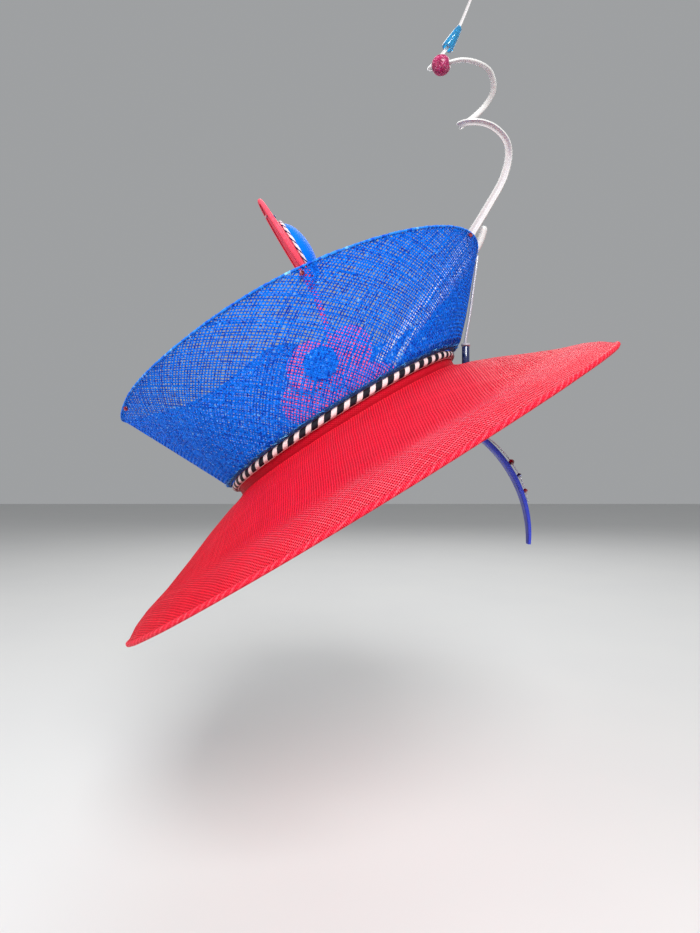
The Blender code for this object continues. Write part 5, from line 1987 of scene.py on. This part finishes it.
@dataclass
class CurledQuill(SubAssembly):
    """The long stripped quill, curled like a ribbon, and the beads threaded on it."""

    reach: float = 244.0
    rise: float = 216.0
    widths: tuple[Pair, ...] = (
        # share of the length, width
        (0.00, 5.6),
        (0.35, 6.4),
        (0.46, 5.7),
        (0.54, 4.8),
        (0.64, 4.4),
        (0.72, 4.1),
        (0.80, 3.6),
        (0.86, 3.0),
        (1.00, 2.0),
    )
    thick_share: float = 0.5
    groove_share: float = 0.2
    foot_across: float = -14.0
    foot_forward: float = 38.0
    steps: int = 720
    samples: int = 12
    side_cloth: float = 0.9
    pave_radius: float = 7.0
    pave_under: float = 0.7
    pave_share: float = 0.810
    pave_end_share: float = 0.88
    stones: int = 760
    stone_radius: float = 0.46
    stone_up: float = 0.55
    stone_down: float = 0.3
    stone_sink: float = 0.05
    stone_sides: int = 6
    stone_foot: float = 0.4
    stone_table: float = 0.5
    stone_sizes: Pair = (0.85, 1.1)
    stone_tone: Pair = (1.7, 1.1)
    stone_cloth: float = 9.0
    ball_rows: int = 21
    ball_sides: int = 28
    ball_tone: float = 0.1
    bell_length: float = 21.0
    bell_radius: float = 4.5
    bell_neck_radius: float = 2.0
    bell_short: float = 0.86
    bell_share: float = 0.922
    bell_power: float = 0.7
    bell_sides: int = 48
    bell_rows: int = 30
    bell_flute: float = 0.02
    bell_flutes: float = 8.0
    bell_end: float = 0.97
    bell_end_share: float = 0.93
    bell_hollow: float = 0.45
    bell_solid: float = 0.2
    bell_cloth: float = 0.6
    bore_spare: float = 0.15
    rows: tuple[Point, ...] = (
        # across, forward, rise
        (0.040, 0.148, 0.068),
        (0.217, 0.134, 0.154),
        (0.513, 0.106, 0.278),
        (0.644, 0.087, 0.347),
        (0.735, 0.073, 0.399),
        (0.796, 0.059, 0.438),
        (0.837, 0.037, 0.484),
        (0.848, 0.011, 0.528),
        (0.831, -0.011, 0.576),
        (0.800, -0.024, 0.612),
        (0.768, -0.025, 0.635),
        (0.753, -0.005, 0.651),
        (0.761, 0.027, 0.661),
        (0.787, 0.060, 0.674),
        (0.829, 0.080, 0.684),
        (0.884, 0.079, 0.699),
        (0.915, 0.050, 0.716),
        (0.917, 0.012, 0.753),
        (0.888, -0.022, 0.783),
        (0.841, -0.039, 0.816),
        (0.786, -0.036, 0.838),
        (0.767, -0.012, 0.860),
        (0.775, 0.024, 0.881),
        (0.809, 0.052, 0.905),
        (0.866, 0.068, 0.932),
        (0.935, 0.066, 0.973),
        (0.993, 0.040, 1.015),
        (1.026, 0.015, 1.040),
    )

    def curve(self) -> Array:
        """Lay the quill's middle line.

        Returns:
            Its points in the hat's frame.
        """
        floor = self.hat.floor(self.foot_across, self.foot_forward)
        foot = [self.foot_across, self.foot_forward, floor + GAP + 0.5 * self.widths[0][1]]
        points = np.array(self.rows) * np.array([self.reach, self.reach, self.rise])
        return smooth_curve(np.vstack([foot, points]), self.steps, self.samples)

    def width(self, share: float | Array) -> float | Array:
        """Width of the ribbon at a share of its length."""
        shares, widths = zip(*self.widths)
        return np.interp(share, shares, widths)

    def section(self) -> tuple[Array, Array]:
        """Draw the ribbon's section.

        Returns:
            The outline as shares of half the ribbon's width, and the look of each side.
        """
        thick = self.thick_share
        floor = thick - 2.0 * self.groove_share
        outline = np.array([
            (-1.0, 0.02), (-0.88, -0.30), (-0.6, -0.46), (-0.3, -0.5), (0.0, -0.5),
            (0.3, -0.5), (0.6, -0.46), (0.88, -0.30), (1.0, 0.02), (0.95, 0.36),
            (0.82, thick), (0.64, 0.44), (0.4, 0.28), (0.18, floor + 0.03), (0.0, floor),
            (-0.18, floor + 0.03), (-0.4, 0.28), (-0.64, 0.44), (-0.82, thick), (-0.95, 0.36),
        ])
        looks = np.zeros(len(outline), int)
        # The groove's faces take the second, darker finish, painted shade in the groove.
        looks[11:17] = 1
        return outline, looks

    def build(self) -> None:
        """Make the ribbon and its two beads."""
        curve = self.curve()
        frames = carried_frames(curve, UP)
        outline, looks = self.section()
        half = 0.5 * self.width(np.linspace(0.0, 1.0, len(curve)))
        girth = np.arange(len(outline) + 1) * self.side_cloth
        cloth = np.stack(np.meshgrid(girth, run_along(curve, False)), axis=-1)
        table = np.tile(looks, (len(curve) - 1, 1))
        skin = Skin().grid(swept(curve, frames, outline, half), cloth, True, False, True, look=table)
        finishes = ["quill", "groove"]
        self.put("quill_ribbon", skin, finishes, Slot.QUILL, ("curled_quill",), 50.0)
        self.build_ball(self.bead_axis(curve, frames, self.pave_share))
        self.build_bell(self.bead_axis(curve, frames, self.bell_share), curve)

    def bead_axis(self, curve: Array, frames: tuple[Array, Array], share: float) -> BeadAxis:
        """Find a bead's place.

        Args:
            curve: the quill's middle line.
            frames: its side and face directions.
            share: the bead's share of its length.

        Returns:
            The bead's middle and directions.
        """
        index = int(round(share * (len(curve) - 1)))
        side, up = (direction[index] for direction in frames)
        return BeadAxis(curve[index], unit(np.cross(side, up)), side, up, index)

    def build_ball(self, bead: BeadAxis) -> None:
        """The ball set all over with small stones.

        Args:
            bead: its place.
        """
        dice = self.shop.dice
        base = self.pave_radius - self.pave_under
        end = self.pave_radius * self.pave_end_share
        t = np.linspace(-end, end, self.ball_rows)
        radii = np.sqrt(np.maximum(base**2 - (t * base / self.pave_radius) ** 2, 0.0))
        bore = 0.5 * self.width(self.pave_share) + GAP + self.bore_spare
        rows = np.stack([np.append(t, t[::-1]), np.append(radii, np.full(len(t), bore))], axis=1)
        points = lathe(rows, bead.middle, bead.along, bead.ring(self.ball_sides))
        cloth = counted_cloth(len(rows) + 1, self.ball_sides, 1.0, 1.0)
        skin = Skin().grid(points, cloth, True, True, tone=self.ball_tone)
        order = np.arange(self.stones) + 0.5
        heights = 1.0 - 2.0 * order / self.stones
        turns = np.pi * (1.0 + math.sqrt(5.0)) * order
        for level, spin in zip(heights, turns):
            if abs(level) > self.pave_end_share:
                continue
            wide = math.sqrt(1.0 - level**2)
            out = level * bead.along
            out = out + wide * (math.cos(spin) * bead.side + math.sin(spin) * bead.up)
            first = unit(np.cross(out, bead.along))
            size = self.stone_radius * dice.uniform(*self.stone_sizes)
            outline = circle(self.stone_sides).T
            corners = np.stack(turned(-dice.uniform(0.0, np.pi), *outline), axis=1)
            plate = spokes(corners, first, np.cross(out, first)) * size
            centre = bead.middle + out * (base - self.stone_sink)
            foot = centre - out * self.stone_down + plate * self.stone_foot
            table = centre + out * self.stone_up + plate * self.stone_table
            spot = np.array([level * self.stone_cloth, spin % self.stone_cloth])
            cloth = np.broadcast_to(spot, (3, self.stone_sides + 1, 2))
            tone = float(dice.beta(*self.stone_tone))
            skin.grid(np.stack([foot, centre + plate, table]), cloth, True, False, True, tone)
        self.put("glitter_ball", skin, ["glitter"], Slot.CRIMSON, ("pave_bead",), 20.0)

    def build_bell(self, bead: BeadAxis, curve: Array) -> None:
        """The bell shaped bead, lightly fluted.

        Args:
            bead: its place.
            curve: the quill's middle line.
        """
        t = np.linspace(1.0, -1.0, self.bell_rows)
        swell = (0.5 - 0.5 * t) ** self.bell_power
        radii = self.bell_neck_radius + (self.bell_radius - self.bell_neck_radius) * swell
        bore = 0.5 * self.width(self.bell_share) + GAP + self.bore_spare
        half = 0.5 * self.bell_length
        turn = TURN * np.arange(self.bell_sides) / self.bell_sides
        flute = 1.0 + self.bell_flute * np.cos(self.bell_flutes * turn)
        ends = np.where(np.abs(t) > self.bell_end, self.bell_end_share, 1.0)
        wide = (radii * ends)[:, None] * flute[None]
        directions = bead.ring(self.bell_sides)
        at = half * (1.0 - self.bell_short * (1.0 - t))
        outer = bead.middle + at[:, None, None] * bead.along + wide[..., None] * directions
        open_part = np.maximum(0.0, -t - self.bell_solid) / (1.0 - self.bell_solid)
        hollow = bore + self.bell_hollow * (radii - bore) * open_part
        step = np.linalg.norm(curve[1] - curve[0])
        reach = np.clip((bead.index + at / step).round().astype(int), 0, len(curve) - 1)
        inner = curve[reach][:, None] + hollow[:, None, None] * directions
        points = np.concatenate([outer, inner[::-1]])
        run = np.concatenate([t, t[::-1], t[:1]]) * half
        cloth = spread(np.arange(self.bell_sides + 1)[None] * self.bell_cloth, run[:, None])
        skin = Skin().grid(points, cloth, True, True)
        self.put("lucite_bell", skin, ["lucite"], Slot.CYAN, ("bell_bead",), 50.0)


@dataclass
class BluntQuill(SubAssembly):
    """The straight quill with a rounded end."""

    reach: float = 168.0
    rise: float = 72.5
    beside: float = 5.9
    radius: float = 2.8
    foot_radius: float = 1.6
    tip_share: float = 0.15
    foot_across: float = 4.0
    foot_forward: float = 40.0
    beside_until: float = 200.0
    steps: int = 200
    sides: int = 20
    rows: tuple[Point, ...] = (
        # across, distance from the curled quill, rise
        (0.150, 0.80, 0.130),
        (0.400, 0.96, 0.389),
        (0.773, 1.00, 0.741),
        (0.930, 1.03, 0.888),
        (1.005, 0.90, 1.034),
    )

    def build(self, curled: Array) -> None:
        """Make the quill.

        Args:
            curled: the curled quill's middle line.
        """
        floor = self.hat.floor(self.foot_across, self.foot_forward)
        points = [[self.foot_across, self.foot_forward, floor + GAP + self.foot_radius]]
        lower = curled[: int(np.argmax(curled[:, 0] > self.beside_until))]
        for across, beside, rise in self.rows:
            x = across * self.reach
            forward = np.interp(x, lower[:, 0], lower[:, 1])
            points.append([x, forward + beside * self.beside, rise * self.rise])
        curve = smooth_curve(np.array(points), self.steps)
        run = run_along(curve, False)
        radii = self.foot_radius + (self.radius - self.foot_radius) * run / run[-1]
        to_end = np.minimum((run[-1] - run) / self.radius, 1.0)
        round_end = np.sqrt(1.0 - (1.0 - to_end) ** 2)
        radii = radii * (self.tip_share + (1.0 - self.tip_share) * round_end)
        skin = Skin().tube(curve, radii, self.sides, UP)
        self.put("blunt_quill_shaft", skin, ["quill"], Slot.QUILL, ("blunt_quill",))


@dataclass
class Rod(SubAssembly):
    """The slim rod beside the flare, its ring and the dark tube that holds its foot."""

    foot_deg: float = 0.0
    top_deg: float = 2.0
    radius: float = 1.0
    foot_off: float = 3.6
    top_off: float = 1.5
    in_tube: float = 8.0
    knee: float = 2.5
    shares: tuple[float, ...] = (0.12, 0.45, 0.75, 1.06)
    tube_radius: float = 2.7
    tube_length: float = 13.5
    off_collar: float = 7.9
    foot_share: float = 0.3
    ring_radius: float = 3.2
    ring_length: float = 1.8
    ring_round: float = 0.3
    steps: int = 200
    sides: int = 14
    tube_sides: int = 28
    tip: tuple[float, ...] = (0.95, 0.8, 0.45)

    def build(self, flare: Flare, brim: Brim) -> None:
        """Make the rod, the ring and the tube.

        Args:
            flare: the flare that the rod runs up.
            brim: the brim that the tube stands on.
        """
        foot_radius = self.hat.collar_radius + GAP + self.off_collar
        foot = polar(foot_radius, self.foot_deg, brim.height_at(foot_radius, self.foot_deg))
        points = []
        for share in self.shares:
            azimuth = self.foot_deg + (self.top_deg - self.foot_deg) * share
            off = self.foot_off + (self.top_off - self.foot_off) * share
            points.append(flare.point(azimuth, share) + flare.outward(azimuth) * off)
        along = unit(points[0] - foot)
        foot = foot + along * (GAP + self.tube_radius * self.foot_share)
        mouth = foot + along * self.tube_length
        side = unit(FORWARD - along * (FORWARD @ along))
        low = mouth + along * (2.0 * GAP - self.in_tube)
        above = mouth + along * (self.ring_length + 2.0 * GAP)
        path = [low, mouth, above, above + along * self.knee, *points[1:]]
        curve = smooth_curve(np.array(path), self.steps)
        radii = np.full(len(curve), self.radius)
        radii[-len(self.tip) :] = self.radius * np.array(self.tip)
        rod = Skin().tube(curve, radii, self.sides, side)
        self.put("rod_shaft", rod, ["stalk"], Slot.STALK, ("side_stalk",))
        directions = spokes(circle(self.tube_sides), side, np.cross(along, side))
        tube = self.turn(self.tube_rows(), foot, along, directions)
        self.put("tube_sleeve", tube, ["tube"], Slot.TUBE, ("stalk_tube",), 35.0)
        ring = self.turn(self.ring_rows(), mouth, along, directions)
        self.put("rod_collar", ring, ["stalk"], Slot.STALK, ("stalk_ring",), 35.0)

    def tube_rows(self) -> list[Pair]:
        """List the tube's outline.

        Returns:
            (distance, radius) points.
        """
        long, wide, bore = self.tube_length, self.tube_radius, self.radius + GAP
        lip = [(0.0, 0.85), (0.3, 0.97), (0.8, 1.0), (long - 0.5, 1.0), (long, 0.9), (long, 0.55)]
        rows = [(at, share * wide) for at, share in lip]
        return rows + [(long - 0.2, bore), (long - self.in_tube, bore)]

    def ring_rows(self) -> list[Pair]:
        """List the ring's outline.

        Returns:
            (distance, radius) points.
        """
        bore, wide, soft = self.radius + GAP, self.ring_radius, self.ring_round
        top = GAP + self.ring_length
        rows = [(GAP, bore), (GAP, wide - soft), (GAP + soft, wide)]
        return rows + [(top - soft, wide), (top, wide - soft), (top, bore)]

    @staticmethod
    def turn(rows: list[Pair], foot: Array, along: Array, directions: Array) -> Skin:
        """Turn a small piece on the rod's axis.

        Args:
            rows: (distance, radius) points.
            foot: where the distance is 0.
            along: the axis.
            directions: the directions round it.

        Returns:
            The piece's faces, as a ring where the outline starts and ends at one radius.
        """
        outline = np.array(rows)
        closed = bool(np.isclose(outline[0, 1], outline[-1, 1]))
        cloth = counted_cloth(len(outline) + closed, len(directions), 0.5, 2.0)
        points = lathe(outline, foot, along, directions)
        return Skin().grid(points, cloth, True, closed, not closed)


# The headband and its trim


@dataclass
class Headband(SubAssembly):
    """The satin covered band and the wire with stones along its right arm."""

    end_thick: float = 2.1
    end_width: float = 7.0
    below_deg: float = 3.0
    taper_deg: float = 30.0
    taper_power: float = 0.7
    steps: int = 360
    sides: int = 28
    square: float = 0.28
    wire_radius: float = 0.45
    wire_steps: int = 120
    wire_sides: int = 10
    stone_sides: int = 10
    stone_tone: Pair = (1.2, 1.3)
    trim_from_deg: float = 50.0
    trim_to_deg: float = 15.0
    stones: tuple[tuple[float, float, str], ...] = (
        # angle_deg on the band, radius, finish
        (34.2, 2.2, "red stone"),
        (27.6, 1.7, "navy stone"),
        (20.5, 1.7, "red stone"),
    )
    stone_rows: tuple[Pair, ...] = (
        # distance along the wire and radius, as shares of the stone's radius
        (-0.92, 0.28),
        (-0.5, 0.82),
        (0.0, 1.0),
        (0.5, 0.82),
        (0.92, 0.28),
    )

    def at(self, angle_deg: Array, radius: float | Array) -> Array:
        """Set points on the band's upright plane.

        Args:
            angle_deg: angles on the band, from its right side.
            radius: distances from the middle of its arc.

        Returns:
            The points.
        """
        angle = np.radians(angle_deg)
        height = radius * np.sin(angle) - self.hat.band_inner_radius
        return spread(radius * np.cos(angle), 0.0 * angle, height)

    def build(self) -> None:
        """Make the band and its trim."""
        width, thick = self.hat.band_width, self.hat.band_thick
        angles = np.linspace(-self.below_deg, 180.0 + self.below_deg, self.steps + 1)
        middle = self.at(angles, self.hat.band_inner_radius + 0.5 * thick)
        out = self.at(angles, 1.0) + UP * self.hat.band_inner_radius
        from_end = np.minimum(angles, 180.0 - angles) + self.below_deg
        share = np.minimum(1.0, from_end / self.taper_deg) ** self.taper_power
        halves = 0.5 * (self.end_width + (width - self.end_width) * share)
        depths = 0.5 * (self.end_thick + (thick - self.end_thick) * share)
        across, above = circle(self.sides).T
        wide = np.sign(across) * np.abs(across) ** self.square
        high = np.sign(above) * np.abs(above) ** (2.0 * self.square)
        points = (
            middle[:, None]
            + (halves[:, None] * wide[None])[..., None] * FORWARD
            + (depths[:, None] * high[None])[..., None] * out[:, None]
        )
        girth = np.arange(self.sides + 1) * (2.0 * width + 2.0 * thick) / self.sides
        cloth = np.stack(np.meshgrid(girth, run_along(middle, False)), axis=-1)
        skin = Skin().grid(points, cloth, True, False, True)
        self.put("satin_band", skin, ["satin"], Slot.SATIN, ("headband",), 60.0, False)
        self.build_trim()

    def wire_place(self, angle_deg: Array) -> Array:
        """Follow the wire, which bows out over the stones.

        Args:
            angle_deg: the angle on the band.

        Returns:
            Points of the wire's middle line.
        """
        largest = max(radius for _, radius, _ in self.stones)
        share = (self.trim_from_deg - angle_deg) / (self.trim_from_deg - self.trim_to_deg)
        rise = np.sqrt(np.sin(np.pi * np.clip(share, 0.0, 1.0)))
        off = GAP + self.wire_radius + (largest - self.wire_radius) * rise
        return self.at(angle_deg, self.hat.band_inner_radius + self.hat.band_thick + off)

    def build_trim(self) -> None:
        """The clear wire and its three cut stones."""
        angles = np.linspace(self.trim_from_deg, self.trim_to_deg, self.wire_steps)
        skin = Skin().tube(self.wire_place(angles), self.wire_radius, self.wire_sides, FORWARD)
        looks = ["wire"]
        for angle, radius, finish in self.stones:
            if finish not in looks:
                looks.append(finish)
            turn = math.radians(angle)
            along = np.array([-math.sin(turn), 0.0, math.cos(turn)])
            out = np.array([math.cos(turn), 0.0, math.sin(turn)])
            rows = np.array(self.stone_rows) * radius
            directions = spokes(circle(self.stone_sides), FORWARD, out)
            points = lathe(rows, self.wire_place(np.array(angle)), along, directions)
            tones = self.shop.dice.beta(*self.stone_tone, len(rows) - 1)
            cloth = np.zeros((len(rows), self.stone_sides + 1, 2))
            skin.grid(points, cloth, True, False, True, tones, looks.index(finish))
        self.put("trim_wire", skin, looks, Slot.CRIMSON, ("band_trim",), 15.0, False)


# Small stones that stay as they are in the part


@dataclass
class SewnStones(SubAssembly):
    """The small cut stones of the part, given their finishes and tones."""

    tone: Pair = (1.2, 1.4)
    finishes: tuple[tuple[str, str], ...] = (
        ("rim_crystal_1", "red stone"),
        ("rim_crystal_2", "red stone"),
        ("rim_crystal_3", "red stone"),
        ("rim_crystal_4", "red stone"),
        ("mini_crystal_1", "navy stone"),
        ("mini_crystal_2", "pale stone"),
    )

    def dress(self, nodes: dict[str, bpy.types.Object]) -> None:
        """Give the part's own stones their finish.

        Args:
            nodes: the part's nodes by name.
        """
        for name, finish in self.finishes:
            mesh = nodes[name].data
            mesh.materials.clear()
            mesh.materials.append(self.shop.wardrobe.material(finish))
            tones = mesh.attributes.new(TONE, "FLOAT", "FACE")
            values = self.shop.dice.beta(*self.tone, len(mesh.polygons))
            tones.data.foreach_set("value", values.astype(np.float32))
            log.info("%s: dressed", name)


# Camera, light and floor


@dataclass
class Studio:
    """A plain pale floor, soft light and the photograph's camera. Its lengths are in metres."""

    camera_at: Point = (-0.036, -0.4767, -0.0385)
    focal_px: float = 674.0
    frame_px: float = 933.0
    sensor: float = 36.0
    floor_below: float = 0.16
    floor_size: float = 9.0
    lights: tuple[tuple[Point, float, float], ...] = (
        # place, watts, size
        ((0.25, -1.6, 1.2), 56.0, 0.9),
        ((-1.5, -0.9, 0.5), 14.0, 1.3),
        ((0.2, 1.5, 1.3), 16.0, 1.4),
    )
    aim: Point = (0.0, 0.0, 0.02)
    sky: Colour = (0.86, 0.88, 0.90)
    sky_strength: float = 0.4
    floor_tones: tuple[Colour, Colour] = ((0.62, 0.62, 0.62), (0.65, 0.65, 0.64))

    def build(self, low: Vector) -> None:
        """Set up the studio.

        Args:
            low: the object's lowest corner.
        """
        scene = bpy.context.scene
        camera = bpy.data.cameras.new("camera")
        camera.sensor_width = self.sensor
        camera.lens = self.sensor * self.focal_px / self.frame_px
        camera.clip_start = 0.01
        camera.clip_end = 100.0
        eye = bpy.data.objects.new("camera", camera)
        eye.location = self.camera_at
        eye.rotation_euler = (math.radians(90.0), 0.0, 0.0)
        scene.collection.objects.link(eye)
        scene.camera = eye
        for number, (place, watts, size) in enumerate(self.lights):
            data = bpy.data.lights.new(f"softbox_{number}", "AREA")
            data.energy = watts
            data.size = size
            lamp = bpy.data.objects.new(f"softbox_{number}", data)
            lamp.location = place
            towards = Vector(self.aim) - Vector(place)
            lamp.rotation_euler = towards.to_track_quat("-Z", "Y").to_euler()
            scene.collection.objects.link(lamp)
        world = bpy.data.worlds.new("studio")
        world.use_nodes = True
        sky = world.node_tree.nodes["Background"]
        Wiring(world.node_tree).fill(sky, Color=self.sky, Strength=self.sky_strength)
        scene.world = world
        scene.view_settings.view_transform = "Standard"
        self.build_floor(low.z - self.floor_below)

    def build_floor(self, level: float) -> None:
        """The floor.

        Args:
            level: its height.
        """
        half = 0.5 * self.floor_size
        mesh = bpy.data.meshes.new("floor")
        corners = [(-half, -half, level), (half, -half, level), (half, half, level), (-half, half, level)]
        mesh.from_pydata(corners, [], [(0, 1, 2, 3)])
        material = bpy.data.materials.new("pale floor")
        material.use_nodes = True
        wires = Wiring(material.node_tree)
        cloud = wires.noise(wires.node("ShaderNodeTexCoord").outputs["Object"], 6.0, 2.0)
        colour = wires.mix(cloud.outputs[0], *self.floor_tones)
        shader = material.node_tree.nodes["Principled BSDF"]
        wires.fill(shader, Base_Color=colour, Roughness=0.8)
        mesh.materials.append(material)
        floor = bpy.data.objects.new("floor", mesh)
        bpy.context.scene.collection.objects.link(floor)
        floor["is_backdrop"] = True


def corners_of(box: tuple[Vector, Vector]) -> list[list[float]]:
    """A box as plain lists of numbers."""
    return [[float(value) for value in corner] for corner in box]


def main() -> None:
    """Dress the whole hatinator."""
    logging.basicConfig(level=logging.INFO, format="%(message)s")
    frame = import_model()
    part_box = corners_of(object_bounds())
    shop = Workshop()
    brim = Brim(shop)
    flare = Flare(shop)
    small_hat = SmallHat(shop)
    curled = CurledQuill(shop)
    brim.build()
    Collar(shop).build()
    flare.build()
    Flower(shop).build(small_hat.stem_top())
    small_hat.build()
    curled.build()
    BluntQuill(shop).build(curled.curve())
    Rod(shop).build(flare, brim)
    Headband(shop).build()
    SewnStones(shop).dress(frame["nodes"])
    Studio().build(Vector(part_box[0]))


if __name__ == "__main__":
    main()
